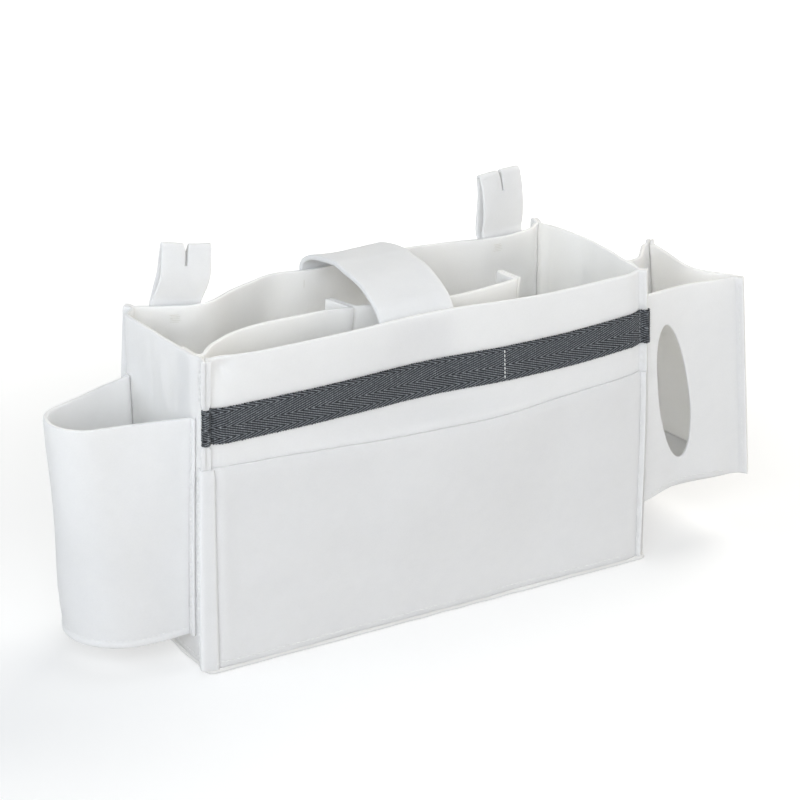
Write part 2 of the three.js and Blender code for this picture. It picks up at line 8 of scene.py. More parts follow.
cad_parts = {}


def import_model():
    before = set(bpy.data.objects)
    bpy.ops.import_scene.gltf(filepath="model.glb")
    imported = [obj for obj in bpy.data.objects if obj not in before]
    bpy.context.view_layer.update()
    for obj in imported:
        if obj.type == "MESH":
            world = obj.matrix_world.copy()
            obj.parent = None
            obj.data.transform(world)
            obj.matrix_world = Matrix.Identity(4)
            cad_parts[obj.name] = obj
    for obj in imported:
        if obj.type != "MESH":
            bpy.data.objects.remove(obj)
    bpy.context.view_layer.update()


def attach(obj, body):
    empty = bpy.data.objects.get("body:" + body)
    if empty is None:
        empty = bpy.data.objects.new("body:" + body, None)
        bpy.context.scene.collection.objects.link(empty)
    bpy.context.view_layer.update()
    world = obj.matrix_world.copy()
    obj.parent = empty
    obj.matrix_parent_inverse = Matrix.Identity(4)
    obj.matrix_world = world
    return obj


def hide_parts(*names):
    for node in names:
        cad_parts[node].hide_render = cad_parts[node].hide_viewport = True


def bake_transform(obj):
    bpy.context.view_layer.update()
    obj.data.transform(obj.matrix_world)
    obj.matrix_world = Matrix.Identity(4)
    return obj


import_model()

MM = 0.001

# Fabric and sewing
FABRIC = 3.0
GAP = 0.3  # between two layers
LAYER = (FABRIC + GAP) / 2  # from a seam to the middle of each of its layers
SEAM_MARGIN = 6.5
RIM = 0.9  # depth of the rounding at a cut edge
PLATE_RIM = 0.5  # the same for a flat panel
FLAT_RIM = 0.05  # and where an edge is sewn flat against another
RIM_POWER = 2.5  # squarer than a half round
RIM_STEPS = RIM * np.array([0, 0.06, 0.25, 0.55, 1])
PADDED, WEBBED = "padded_fabric", "webbing"

# Main box
HALF_LENGTH, HALF_DEPTH, HEIGHT = 175.0, 58.0, 225.0
FOOT = FABRIC + GAP
CORNER = 12.0  # from a seam to where a wall's swell is full
LEAN_FROM = 90.0  # below this height the walls stand straight

# Curves and plan lines
SLIGHT_TURN, FULL_TURN = 0.2, 2.6  # radians: lesser bends stay, and sharper ones count as this
CURVE_POINTS = 7  # in place of a bend
SPAN_POINTS = 24  # between two points of a spline
WAVE_COUNT = 9
CREASE_WIDTH = 7.0


def smooth(low, high, x):
    """0 below low, 1 above high, and a soft step between."""
    t = np.clip((np.asarray(x, float) - low) / (high - low), 0, 1)
    return t * t * (3 - 2 * t)


def bump(x, centre, half):
    """1 at the centre, and 0 from half a width on."""
    t = np.minimum(np.abs(np.asarray(x, float) - centre) / half, 1)
    return np.cos(t * math.pi / 2) ** 2


def bell(x, centre, width):
    return np.exp(-((x - centre) / width) ** 2)


def mix(a, b, t):
    return a + (b - a) * t


def right_of(v):
    return np.array([v[1], -v[0]])


def left_of(v):
    return np.array([-v[1], v[0]])


def heading(degrees):
    return np.array([math.cos(math.radians(degrees)), math.sin(math.radians(degrees))])


def unit(v):
    """Each vector of an array, made one long."""
    v = np.asarray(v, float)
    return v / np.maximum(np.linalg.norm(v, axis=-1, keepdims=True), 1e-12)


def arc_length(line):
    steps = np.linalg.norm(np.diff(line, axis=0), axis=1)
    return np.concatenate([[0], np.cumsum(steps)])


def line_at(line, at, place):
    """Points at places along a line whose own points are at the lengths given."""
    return np.stack([np.interp(place, at, column) for column in line.T], 1)


def even_line(line, count):
    at = arc_length(line)
    return line_at(line, at, np.linspace(0, at[-1], count + 1))


def closed(line):
    return np.concatenate([line, line[:1]])


def offset(line, distance):
    """The line moved to its right, with mitred bends."""
    steps = unit(np.diff(line, axis=0))
    sides = np.stack([steps[:, 1], -steps[:, 0]], 1)
    before = np.concatenate([sides[:1], sides])
    after = np.concatenate([sides, sides[-1:]])
    middle = unit(before + after)
    return line + distance * middle / np.sum(middle * before, axis=1)[:, None]


def rounded(line, radius):
    """The line with each sharp bend replaced by a short curve."""
    out = [line[0]]
    for a, p, b in zip(line, line[1:], line[2:]):
        back_on, on = a - p, b - p
        room_back, room_on = np.linalg.norm(back_on), np.linalg.norm(on)
        turn = math.acos(np.clip(-back_on @ on / (room_back * room_on), -1, 1))
        if turn < SLIGHT_TURN:
            out.append(p)
            continue
        reach = min(radius * math.tan(min(turn, FULL_TURN) / 2), 0.49 * room_back, 0.49 * room_on)
        first, last = p + back_on / room_back * reach, p + on / room_on * reach
        for t in np.linspace(0, 1, CURVE_POINTS):
            out.append((1 - t) ** 2 * first + 2 * t * (1 - t) * p + t * t * last)
    out.append(line[-1])
    return np.array(out)


def crossing(line, y):
    """Where a plan line first reaches that y."""
    for a, b in zip(line, line[1:]):
        if (a[1] - y) * (b[1] - y) <= 0 and a[1] != b[1]:
            return a + (b - a) * (y - a[1]) / (b[1] - a[1])
    raise ValueError("the line never reaches that place")


def y_at(line, x):
    return crossing(line[:, ::-1], x)[0]


def spline(points, count):
    """A centripetal Catmull-Rom curve through points, as count + 1 evenly spaced points."""
    p = np.asarray(points, float)
    p = np.concatenate([[2 * p[0] - p[1]], p, [2 * p[-1] - p[-2]]])
    out = []
    for p0, p1, p2, p3 in zip(p, p[1:], p[2:], p[3:]):
        spans = (p1 - p0, p2 - p1, p3 - p2)
        d0, d1, d2 = (math.sqrt(max(np.linalg.norm(span), 1e-6)) for span in spans)
        m1 = d1 * ((p1 - p0) / d0 - (p2 - p0) / (d0 + d1) + (p2 - p1) / d1)
        m2 = d1 * ((p2 - p1) / d1 - (p3 - p1) / (d1 + d2) + (p3 - p2) / d2)
        for t in np.linspace(0, 1, SPAN_POINTS, endpoint=False):
            a, b = 2 * t ** 3 - 3 * t ** 2 + 1, t ** 3 - 2 * t ** 2 + t
            out.append(a * p1 + b * m1 + (1 - a) * p2 + (t ** 3 - t ** 2) * m2)
    out.append(p[-2])
    return even_line(np.array(out), count)


def bezier(p0, p1, p2, p3, count):
    t = np.linspace(0, 1, count)[:, None]
    p0, p1, p2, p3 = (np.asarray(p, float) for p in (p0, p1, p2, p3))
    return (1 - t) ** 3 * p0 + 3 * t * (1 - t) ** 2 * p1 + 3 * t * t * (1 - t) * p2 + t ** 3 * p3


def ripples(seed, shortest, longest, height):
    """A gentle field of crossing waves over a panel: a function of its two lengths."""
    draw = np.random.RandomState(seed)
    angle = draw.uniform(0, math.pi, WAVE_COUNT)
    wave = 2 * math.pi / np.exp(draw.uniform(math.log(shortest), math.log(longest), WAVE_COUNT))
    phase = draw.uniform(0, 2 * math.pi, WAVE_COUNT)

    def field(u, v):
        total = 0
        for a, k, p in zip(angle, wave, phase):
            total = total + np.sin(k * (u * math.cos(a) + v * math.sin(a)) + p)
        return height * total / math.sqrt(WAVE_COUNT / 2)

    return field


def crumple(seed, size, height, area):
    """Faint creases between irregular flat patches, showing here and there: a function of two lengths."""
    draw = np.random.RandomState(seed)
    spots = draw.uniform(0, 1, (int(area[0] * area[1] / size ** 2), 2)) * area
    where = ripples(seed + 100, 50, 140, 1.0)

    def field(u, v):
        reach = np.sqrt((u[..., None] - spots[:, 0]) ** 2 + (v[..., None] - spots[:, 1]) ** 2)
        near = np.partition(reach, 1, axis=-1)
        return height * bell(near[..., 1], near[..., 0], CREASE_WIDTH) * smooth(-0.5, 1.2, where(u, v))

    return field


def grid_at(grid, j, i):
    """A grid's value at a row and a column between its own."""
    j0 = np.minimum(np.asarray(j).astype(int), grid.shape[0] - 2)
    i0 = np.minimum(np.asarray(i).astype(int), grid.shape[1] - 2)
    a, b = np.asarray(i - i0), np.asarray(j - j0)
    if grid.ndim == 3:
        a, b = a[..., None], b[..., None]
    low = mix(grid[j0, i0], grid[j0, i0 + 1], a)
    return mix(low, mix(grid[j0 + 1, i0], grid[j0 + 1, i0 + 1], a), b)


# The walls in plan
NEAR_SEAM = np.array([4.2, 5.6, 7.0, 8.4, 10.2])  # a face's first points, counted from its seam
FACE_STEP = 3.5
FOOT_SWELL = 3.4


def body_lean(z):
    return (max(z - LEAN_FROM, 0) / (HEIGHT - LEAN_FROM)) ** 1.5


def rear_lean(z):
    return float(smooth(FOOT, 170, z))


class Seam:
    """A corner seam: where it stands at each height, and which way its pinched margins point."""

    def __init__(self, x, y, shift, lean, out):
        self.foot = np.array([x, y])
        self.shift = np.array(shift, float)
        self.lean = lean
        self.out = unit(out)

    def at(self, z):
        return self.foot + self.shift * self.lean(z)

    def beside(self, z, away, across):
        """A point that far out along the margins and that far to their left."""
        return self.at(z) + away * self.out + across * left_of(self.out)

    def margin(self, z, side):
        """The bend and the cut edge of the margin on the left, or with -1 on the right."""
        return [self.beside(z, away, side * LAYER) for away in (0, SEAM_MARGIN)]


FRONT_LEFT = Seam(-HALF_LENGTH, -HALF_DEPTH, (1.5, -3), body_lean, (-0.3, -1))
FRONT_RIGHT = Seam(HALF_LENGTH, -HALF_DEPTH, (-5, 0), body_lean, (1, -1))
BACK_RIGHT = Seam(HALF_LENGTH, HALF_DEPTH, (-6, 10), rear_lean, (0.1, 1))
BACK_LEFT = Seam(-HALF_LENGTH, HALF_DEPTH, (4, -7), body_lean, (-1, 1))


def face_line(start, end, swell):
    """A wall between two seams, standing out by a swell given along its length."""
    length = np.linalg.norm(end - start)
    along = (end - start) / length
    middle = np.linspace(CORNER, length - CORNER, max(int(length / FACE_STEP), 8))
    d = np.concatenate([NEAR_SEAM, middle, length - NEAR_SEAM[::-1]])
    rise = smooth(0, CORNER, np.minimum(d, length - d))
    stand = mix(LAYER * math.sqrt(0.5), swell(d, length), rise)
    return start + np.outer(d, along) + np.outer(stand, right_of(along))


def wall_line(first, last, swell):
    """A wall's plan line at each height, with the pinched margins at both its seams."""
    def line(z):
        face = face_line(first.at(z), last.at(z), lambda d, length: swell(z, d, length))
        return np.concatenate([first.margin(z, 1)[::-1], face, last.margin(z, -1)])

    return line


def face_of(line):
    """A wall's plan line without its margins."""
    return line[2:-2]


def waves(z, d, *shapes):
    """The waves of a wall, which grow towards its top: each has a height, a place and a half width."""
    return float(smooth(LEAN_FROM, 200, z)) * sum(height * bump(d, at, half) for height, at, half in shapes)


def front_swell(z, d, length):
    hollow = 3.8 * smooth(188, 216, z) * (1 - smooth(10, 46, d))
    return mix(FOOT_SWELL, 5.5, body_lean(z)) + waves(z, d, (-5, 170, 62)) - hollow


def right_swell(z, d, length):
    return mix(FOOT_SWELL, 3, body_lean(z)) + waves(z, d, (6, 72, 66))


def back_swell(z, d, length):
    left_waves = waves(z, length - d, (-20, 43, 48), (8.5, 113, 34), (4, 223, 30))
    return mix(FOOT_SWELL, 0.5, body_lean(z)) + left_waves + waves(z, d, (-12.5, 37, 60))


def left_swell(z, d, length):
    return mix(FOOT_SWELL, mix(10.8, 3.0, d / length), body_lean(z))


front_line = wall_line(FRONT_LEFT, FRONT_RIGHT, front_swell)
right_line = wall_line(FRONT_RIGHT, BACK_RIGHT, right_swell)
back_line = wall_line(BACK_RIGHT, BACK_LEFT, back_swell)
left_line = wall_line(BACK_LEFT, FRONT_LEFT, left_swell)

# Cloth meshes, with the stations over a pinched margin
FIN = np.array([2.1, 3.0, 3.8, 4.5, 5.1, 5.7, 6.3, 6.9, 7.5, 8.2, 9.0, 10.0, 11.3, 13.0])
SIDEWAYS = 300.0  # the sheets lie within this on both sides
LEVEL_STEP = 2.5
CRISP = math.radians(50)  # edges that turn more than this stay crisp
PLATE_RINGS, PLATE_HUB = 9, 0.02  # rings inside the rim, and the innermost one's share of the outline
STITCH_SIDES, STITCH_RINGS, STITCH_HUMP = 6, 6, 0.16


def rim_share(distance, rim=RIM):
    """How much of its thickness a sheet has at a distance from a cut edge."""
    t = np.clip(np.asarray(distance, float) / rim, 0, 1)
    return (1 - (1 - t) ** RIM_POWER) ** (1 / RIM_POWER)


def both_rims(place, length, rim=RIM):
    return rim_share(np.minimum(place, length - place), rim)


def stations(length, step, start=(), end=()):
    """Places along a length, crowded at both rims, with further places counted from either end."""
    first = np.concatenate([RIM_STEPS, start])
    last = np.concatenate([RIM_STEPS, end])
    low, high = first[-1], length - last[-1]
    middle = np.linspace(low, high, max(int(round((high - low) / step)), 1) + 1)[1:-1]
    return np.concatenate([first, middle, length - last[::-1]])


def stretched(places, reference, length, start, end):
    """Places on a reference length, moved to another length with both end zones kept."""
    inner = (places - start) * (length - start - end) / (reference - start - end) + start
    from_end = length - (reference - places)
    return np.where(places <= start, places, np.where(places >= reference - end, from_end, inner))


def quad(j, i):
    return [(j, i), (j, i + 1), (j + 1, i + 1), (j + 1, i)]


class Cloth:
    """A sheet of fabric: a grid of points at its middle, lengths along and across it, and its thickness."""

    def __init__(self, points, along, across, thickness, edge, keep=None):
        self.points, self.u, self.v = points, along, across
        self.edge = edge  # share of the thickness near the cut edges
        self.keep = np.ones(np.subtract(along.shape, 1), bool) if keep is None else keep
        self.front = self.back = np.full(points.shape[:2], thickness / 2)
        self.folded = 0.0  # length at the start that is folded round a seam
        # Faces marked as inside take the fabric's painted-light inside colour.
        self.inside = (0, 1)  # which of the two faces look into the caddy, or, with a 2, into a side pocket
        self.face()

    def face(self):
        self.normals = unit(np.cross(np.gradient(self.points, axis=1), np.gradient(self.points, axis=0)))

    def push(self, amount):
        self.points = self.points + self.normals * np.asarray(amount)[..., None]
        self.face()

    def flat_size(self):
        width = np.median(np.linalg.norm(np.diff(self.points, axis=1), axis=2).sum(1))
        length = np.median(np.linalg.norm(np.diff(self.points, axis=0), axis=2).sum(0))
        return float(width * MM), float(length * MM)

    def track(self, u, v, side=1, lift=0.05):
        """A line of points just above one face of the sheet, with the outward normals there."""
        half = (self.front if side > 0 else self.back) * self.edge
        middle = self.u[self.u.shape[0] // 2]
        line, normals = [], []
        for a, b in zip(u, v):
            i = np.interp(a, middle, np.arange(len(middle)))
            j = np.interp(b, self.v[:, int(round(i))], np.arange(len(self.v)))
            normals.append(unit(grid_at(self.normals, j, i)) * side)
            line.append(grid_at(self.points, j, i) + normals[-1] * (grid_at(half, j, i) + lift))
        return np.array(line), np.array(normals)

    def sides(self, edge):
        lift = edge[..., None] * self.normals
        return self.points + lift * self.front[..., None], self.points - lift * self.back[..., None]

    def shell(self, used, inner):
        """A closed mesh of the kept cells, and the point numbers on its two faces, which share the rim."""
        top = np.full(used.shape, -1)
        top[used] = np.arange(used.sum())
        under = top.copy()
        under[inner] = used.sum() + np.arange(inner.sum())
        front, back = self.sides(np.where(inner, self.edge, 0))
        lengths = np.stack([self.u, self.v, 0 * self.u], 2)
        places = [lengths[grid] + [0, 0, mark] for grid, mark in zip((used, inner), self.inside)]
        corners = quad(*np.nonzero(self.keep))
        faces = [np.stack([top[c] for c in corners], 1), np.stack([under[c] for c in corners[::-1]], 1)]
        points = np.concatenate([front[used], back[inner]])
        return points, np.concatenate(faces), np.concatenate(places), top, under

    def mesh(self):
        rows, columns = self.keep.shape
        around = np.zeros(self.u.shape, int)
        for j, i in quad(0, 0):
            around[j:rows + j, i:columns + i] += self.keep
        return self.shell(around > 0, around == 4)[:3]


def make_object(name, points, faces, places=None, material=None):
    data = bpy.data.meshes.new(name)
    data.from_pydata((np.asarray(points) * MM).tolist(), [], [list(map(int, f)) for f in faces])
    data.polygons.foreach_set("use_smooth", np.ones(len(data.polygons), bool))
    if places is not None:
        layer = data.attributes.new("cloth", "FLOAT_VECTOR", "POINT")
        layer.data.foreach_set("vector", (np.asarray(places) * MM).astype(np.float32).ravel())
    data.materials.append(material or FABRIC_WHITE)
    data.update()
    data.set_sharp_from_angle(angle=CRISP)
    return add_to_scene(name, data)


def add_to_scene(name, data):
    piece = bpy.data.objects.new(name, data)
    bpy.context.scene.collection.objects.link(piece)
    return piece


def register(piece, nodes, slot=PADDED, body="root", **sheet):
    """Attaches a piece to the body it rides on and hides the solids it stands for; its slot and sheet are not
    used.
    """
    if body:
        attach(piece, body)
    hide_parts(*nodes)


def add_cloth(name, cloth, nodes, held, rests_on=(), body="root", material=None):
    piece = make_object(name, *cloth.mesh(), material)
    register(piece, nodes, body=body, flat=cloth.flat_size(), held=held, rests_on=list(rests_on))
    return piece


def standing(line, low, high, thickness=FABRIC, start=FIN, end=FIN, step=4.0, rise=4.0, radius=2.4, foot=(),
             rims=(RIM, RIM, RIM)):
    """A sheet on edge: its plan line at each height, between a lower and an upper edge given along X.

    The rims are the roundings at its start, its end and its foot.
    """
    low_at = low if callable(low) else (lambda x: low + 0 * x)
    high_at = high if callable(high) else (lambda x: high + 0 * x)
    probe = np.linspace(-SIDEWAYS, SIDEWAYS, 201)
    lowest, highest = float(np.min(low_at(probe))), float(np.max(high_at(probe)))
    levels = np.linspace(lowest, highest, max(int((highest - lowest) / LEVEL_STEP), 2) + 1)
    paths = [rounded(line(z), radius) for z in levels]
    reference = arc_length(paths[len(paths) // 2])[-1]
    places = stations(reference, step, start, end)
    grid = np.empty((len(levels), len(places), 2))
    for k, path in enumerate(paths):
        at = arc_length(path)
        grid[k] = line_at(path, at, stretched(places, reference, at[-1], start[-1], end[-1]))
    x = grid[0, :, 0]
    bottom, top = low_at(x), high_at(x)
    tall = float(np.median(top - bottom))
    rows = stations(tall, rise, foot)
    heights = np.stack([stretched(rows, tall, t - b, 5, 5) + b for b, t in zip(bottom, top)], 1)
    points = np.empty(heights.shape + (3,))
    for i in range(len(places)):
        points[:, i, :2] = line_at(grid[:, i], levels, heights[:, i])
    points[..., 2] = heights
    along = np.broadcast_to(places, heights.shape).copy()
    edge = rim_share(along - along[:, :1], rims[0]) * rim_share(along[:, -1:] - along, rims[1])
    edge = edge * rim_share(heights - heights[:1], rims[2]) * rim_share(heights[-1:] - heights)
    return Cloth(points, along, heights, thickness, edge)


def plate(outline, low, inside):
    """A flat panel of fabric inside an outline, as one closed mesh with rounded edges."""
    centre = outline.mean(0)
    count = len(outline)
    spread = np.linalg.norm(outline - centre, axis=1).mean()
    depths = np.concatenate([RIM_STEPS, np.linspace(RIM, spread * (1 - PLATE_HUB), PLATE_RINGS)[1:]])
    points, faces, places = [], [], []
    for side in (1, -1):
        mark = inside * (side > 0)
        rings = [] if side > 0 else [list(range(count))]  # the two faces share the outermost ring
        for depth in depths[len(rings):]:
            z = low + FABRIC / 2 + side * rim_share(depth, PLATE_RIM) * FABRIC / 2
            rings.append(list(range(len(points), len(points) + count)))
            for x, y in centre + (outline - centre) * (1 - depth / spread):
                points.append([x, y, z])
                places.append([x, y, mark])
        middle = len(points)
        points.append([*centre, z])
        places.append([*centre, mark])
        for i in range(count):
            k = (i + 1) % count
            loops = [[a[i], a[k], b[k], b[i]] for a, b in zip(rings, rings[1:])]
            faces += [loop[::side] for loop in [*loops, [rings[-1][i], rings[-1][k], middle]]]
    return points, faces, places


def add_plate(name, outline, low, node, inside=1):
    piece = make_object(name, *plate(outline, low, inside))
    x, y = outline[:, 0], outline[:, 1]
    area = 0.5 * abs(np.dot(x, np.roll(y, -1)) - np.dot(y, np.roll(x, -1))) * MM * MM
    size = (float(np.ptp(x)) * MM, float(np.ptp(y)) * MM)
    register(piece, [node], flat=size, held="stretched", area=float(area))


def add_thread(name, tracks, material, length=3.0, pitch=3.8, radius=0.3, slot=PADDED):
    """Rows of stitches: short rounded threads that dip into the fabric at both ends."""
    t = np.linspace(0, 1, STITCH_RINGS + 1)
    swell = radius * np.sqrt(np.maximum(1 - (2 * t - 1) ** 4, 0.02))
    hop = STITCH_HUMP * (1 - 2.6 * np.abs(2 * t - 1) ** 3)
    turn = np.linspace(0, 2 * math.pi, STITCH_SIDES, endpoint=False)[None, :, None]
    points, faces, base = [], [], 0
    for line, normals in tracks:
        at = arc_length(line)
        count = max(int(at[-1] // pitch), 1)
        first = (at[-1] - count * pitch + pitch - length) / 2 + pitch * np.arange(count)
        place = (first[:, None] + length * t).ravel()
        n = unit(line_at(normals, at, place))
        across = unit(np.cross(line_at(line, at, place + 0.2) - line_at(line, at, place - 0.2), n))
        middle = line_at(line, at, place) + n * np.tile(hop, count)[:, None]
        reach = np.tile(swell, count)[:, None, None]
        rings = middle[:, None] + reach * (np.cos(turn) * across[:, None] + np.sin(turn) * n[:, None])
        points.append(rings.reshape(-1, 3))
        ids = base + np.arange(len(rings) * STITCH_SIDES).reshape(count, STITCH_RINGS + 1, STITCH_SIDES)
        base += ids.size
        after = np.roll(ids, -1, axis=2)
        faces += np.stack([ids[:, :-1], ids[:, 1:], after[:, 1:], after[:, :-1]], 3).reshape(-1, 4).tolist()
        faces += ids[:, 0].tolist() + ids[:, -1, ::-1].tolist()
    piece = make_object(name, np.concatenate(points), faces, material=material)
    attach(piece, "root")


# Materials
WEAVE, TWILL_YARN = 0.0009, 0.0018  # pitches in metres


def set_stops(ramp, stops):
    while len(ramp.elements) < len(stops):
        ramp.elements.new(0.5)
    for element, (place, colour) in zip(ramp.elements, stops):
        element.position = place
        element.color = (*colour, 1)


class Nodes:
    """A small helper that builds a node tree in order."""

    def __init__(self, name):
        self.material = bpy.data.materials.new(name)
        self.material.use_nodes = True
        self.tree = self.material.node_tree
        self.shader = self.tree.nodes["Principled BSDF"]

    def add(self, kind, inputs=(), **settings):
        node = self.tree.nodes.new(kind)
        for key, value in settings.items():
            setattr(node, key, value)
        for key, value in dict(inputs).items():
            self.put(node.inputs[key], value)
        return node

    def put(self, socket, value):
        if isinstance(value, bpy.types.NodeSocket):
            self.tree.links.new(value, socket)
        else:
            socket.default_value = value

    def place(self):
        return self.add("ShaderNodeTexCoord").outputs["Object"]

    def cloth(self):
        """The lengths along and across a sheet, and the mark of its face or ridge."""
        vector = self.add("ShaderNodeAttribute", attribute_name="cloth").outputs["Vector"]
        return self.add("ShaderNodeSeparateXYZ", {0: vector}).outputs

    def math(self, operation, a, b=0.0, clamp=False):
        return self.add("ShaderNodeMath", {0: a, 1: b}, operation=operation, use_clamp=clamp).outputs[0]

    def times(self, a, b, clamp=False):
        return self.math("MULTIPLY", a, b, clamp)

    def plus(self, a, b):
        return self.math("ADD", a, b)

    def wave(self, length, pitch):
        return self.math("SINE", self.times(length, 2 * math.pi / pitch))

    def noise(self, vector, scale, detail=2.0, roughness=0.5):
        inputs = {"Vector": vector, "Scale": scale, "Detail": detail, "Roughness": roughness}
        return self.add("ShaderNodeTexNoise", inputs).outputs["Fac"]

    def ramp(self, value, stops):
        node = self.add("ShaderNodeValToRGB", {"Fac": value})
        set_stops(node.color_ramp, stops)
        return node.outputs["Color"]

    def blend(self, factor, a, b, how="MIX"):
        node = self.add("ShaderNodeMix", data_type="RGBA", blend_type=how)
        self.put(node.inputs["Factor"], factor)
        for key, value in (("A", a), ("B", b)):
            self.put(node.inputs[key], value if isinstance(value, bpy.types.NodeSocket) else (*value, 1))
        return node.outputs["Result"]

    def bump(self, height, strength, distance, onto=None):
        inputs = {"Height": height, "Strength": strength, "Distance": distance}
        if onto is not None:
            inputs["Normal"] = onto
        return self.add("ShaderNodeBump", inputs).outputs["Normal"]

    def set(self, **sockets):
        for key, value in sockets.items():
            self.put(self.shader.inputs[key.replace("_", " ")], value)
        return self.material


def white_fabric(name, light, shade, inside_painted_light):
    """A close plain weave over thin padding: soft mottling, a fine thread grid and faint fibres.

    The faces that look into the caddy are painted lighter and warmer, as painted light standing in for the
    light that reaches the inside through the fabric, and light comes through those of its side pockets.
    """
    n = Nodes(name)
    cloth, place = n.cloth(), n.place()
    weave = n.times(n.wave(cloth[0], WEAVE), n.wave(cloth[1], WEAVE))
    broad = n.noise(place, 16, 3.0, 0.55)
    small = n.noise(place, 130, 3.0, 0.6)
    fibre = n.noise(place, 900, 2.0, 0.6)
    tone = n.ramp(n.plus(n.times(broad, 0.7), n.times(small, 0.3)), [(0.32, shade), (0.68, light)])
    speck = n.times(n.math("SUBTRACT", fibre, 0.5), 0.05)
    bright = n.plus(n.plus(speck, n.times(weave, 0.012)), 1.0)
    grey = n.add("ShaderNodeCombineXYZ", {axis: bright for axis in range(3)}).outputs[0]
    marked = n.times(cloth[2], 1 / MM)
    inside = n.math("MINIMUM", marked, 1.0)
    # Painted light: faces marked as inside take the lighter, warmer inside colour in place of the mottled
    # tone.
    colour = n.blend(1.0, n.blend(inside, tone, inside_painted_light), grey, "MULTIPLY")
    normal = n.bump(small, 0.25, 0.0006)
    normal = n.bump(n.plus(weave, n.times(fibre, 1.4)), 0.22, 0.00025, normal)
    rough = n.plus(n.times(small, 0.14), 0.78)
    thin = n.math("SUBTRACT", marked, 1.0, clamp=True)
    deep = n.plus(n.times(thin, 0.005), 0.008)
    weight = n.plus(n.times(thin, 0.25), 0.6)
    return n.set(Base_Color=colour, Roughness=rough, Normal=normal, Sheen_Weight=0.12, Sheen_Roughness=0.55,
                 Specular_IOR_Level=0.22, Subsurface_Weight=weight, Subsurface_Scale=deep,
                 Subsurface_Radius=(1.0, 1.0, 0.95))


def thread(name, light, shade):
    """Twisted sewing thread."""
    n = Nodes(name)
    place = n.place()
    strand = n.noise(place, 1500)
    tone = n.ramp(n.noise(place, 240), [(0.3, shade), (0.7, light)])
    normal = n.bump(strand, 0.3, 0.0002)
    rough = n.plus(n.times(strand, 0.2), 0.5)
    return n.set(Base_Color=tone, Roughness=rough, Normal=normal, Sheen_Weight=0.1, Specular_IOR_Level=0.3)


def webbing_cloth():
    """Charcoal twill tape: dark yarn with paler flecks on the backs of the ridges, partly a painted highlight
    on the ridge tops, with painted shade in the valleys.
    """
    n = Nodes("charcoal_webbing")
    cloth, place = n.cloth(), n.place()
    ridge = n.times(cloth[2], 1 / MM, clamp=True)
    fleck = n.noise(place, 620, 2.0, 0.6)
    yarn = n.noise(place, 1900, 2.0, 0.6)
    base = n.ramp(n.noise(place, 34), [(0.3, (0.008, 0.0095, 0.012)), (0.7, (0.015, 0.017, 0.021))])
    pale_flecks_and_highlight = [(0.3, (0.145, 0.159, 0.178)), (0.6, (0.29, 0.311, 0.336)), (0.8, (0.55, 0.57, 0.6))]
    grain = n.plus(n.plus(n.times(yarn, 0.7), 0.42), n.times(n.wave(cloth[0], TWILL_YARN), 0.16))
    # Partly painted highlight: the ridge tops take the pale colour, and the valleys keep the dark yarn as
    # painted shade.
    share = n.times(n.math("POWER", ridge, 2.0), grain, clamp=True)
    colour = n.blend(share, base, n.ramp(fleck, pale_flecks_and_highlight))
    normal = n.bump(yarn, 0.5, 0.0003)
    rough = n.plus(n.times(fleck, 0.2), 0.62)
    return n.set(Base_Color=colour, Roughness=rough, Normal=normal, Sheen_Weight=0.08,
                 Specular_IOR_Level=0.25)


# Inside colours of the fabrics: painted light lifts the faces inside the caddy, and the strap's is a
# painted-shade grey.
INSIDE_PAINTED_LIGHT_COLOUR, STRAP_INSIDE_PAINTED_SHADE = (0.965, 0.957, 0.928), (0.8, 0.8, 0.8)
FABRIC_WHITE = white_fabric("white_padded_fabric", (0.86, 0.86, 0.858), (0.825, 0.826, 0.827), INSIDE_PAINTED_LIGHT_COLOUR)
# The strap's fabric is a darker copy of the white fabric: painted shade for the dimmer light on its top.
STRAP_PAINTED_SHADE = white_fabric("strap_fabric_painted_shade", (0.795, 0.803, 0.816), (0.765, 0.773, 0.788), STRAP_INSIDE_PAINTED_SHADE)
THREAD_WHITE = thread("white_thread", (0.9, 0.9, 0.89), (0.8, 0.8, 0.79))
THREAD_CREAM = thread("cream_thread", (0.86, 0.845, 0.8), (0.8, 0.785, 0.73))
THREAD_GREY = thread("grey_thread", (0.3, 0.31, 0.33), (0.2, 0.21, 0.22))
WEBBING = webbing_cloth()

# Sewing and shaping of sheets
WALL_STEPS = np.array([1.8, 2.3, 2.8, 3.4, 4.2, 5.2, 6.6, 8.6])
WEB, WEB_WIDE = 1.5, 25.0
WALL_FOOT = FOOT - 0.25  # the stitches pull the walls down on the base
SEWN = (FLAT_RIM, FLAT_RIM, FLAT_RIM)
STITCH = 3.4  # from a fin's cut edge to its stitches


def web_low(x):
    """The webbing's lower edge, which rises a little towards the right."""
    return 166 + 4 * smooth(HALF_LENGTH - 80, HALF_LENGTH, x)


def from_ends(cloth):
    return cloth.u - cloth.u[:, :1] - cloth.folded, cloth.u[:, -1:] - cloth.u


def away_from_fins(cloth, low=9, high=24):
    return smooth(low, high, np.minimum(*from_ends(cloth)))


def drawn_in(cloth):
    """A wall is drawn in a little where it is sewn to the base."""
    return -0.4 * (1 - smooth(0.5, 22, cloth.v - FOOT)) * away_from_fins(cloth, 7, 13)


def calm(values, low, high):
    """0 where another sheet is sewn on, 1 away from there."""
    return smooth(0, 9, np.maximum(low - values, values - high))


def sew_fins(cloth, ends=(0, 1)):
    """Closes the pinched margins on their neighbours, with a groove along each stitched line."""
    for end in ends:
        d = from_ends(cloth)[end]
        cloth.front = cloth.front * (1 - 0.1 * bell(d, STITCH, 0.9))
        cloth.back = cloth.back + 0.17 * (1 - smooth(6, 8.5, d))


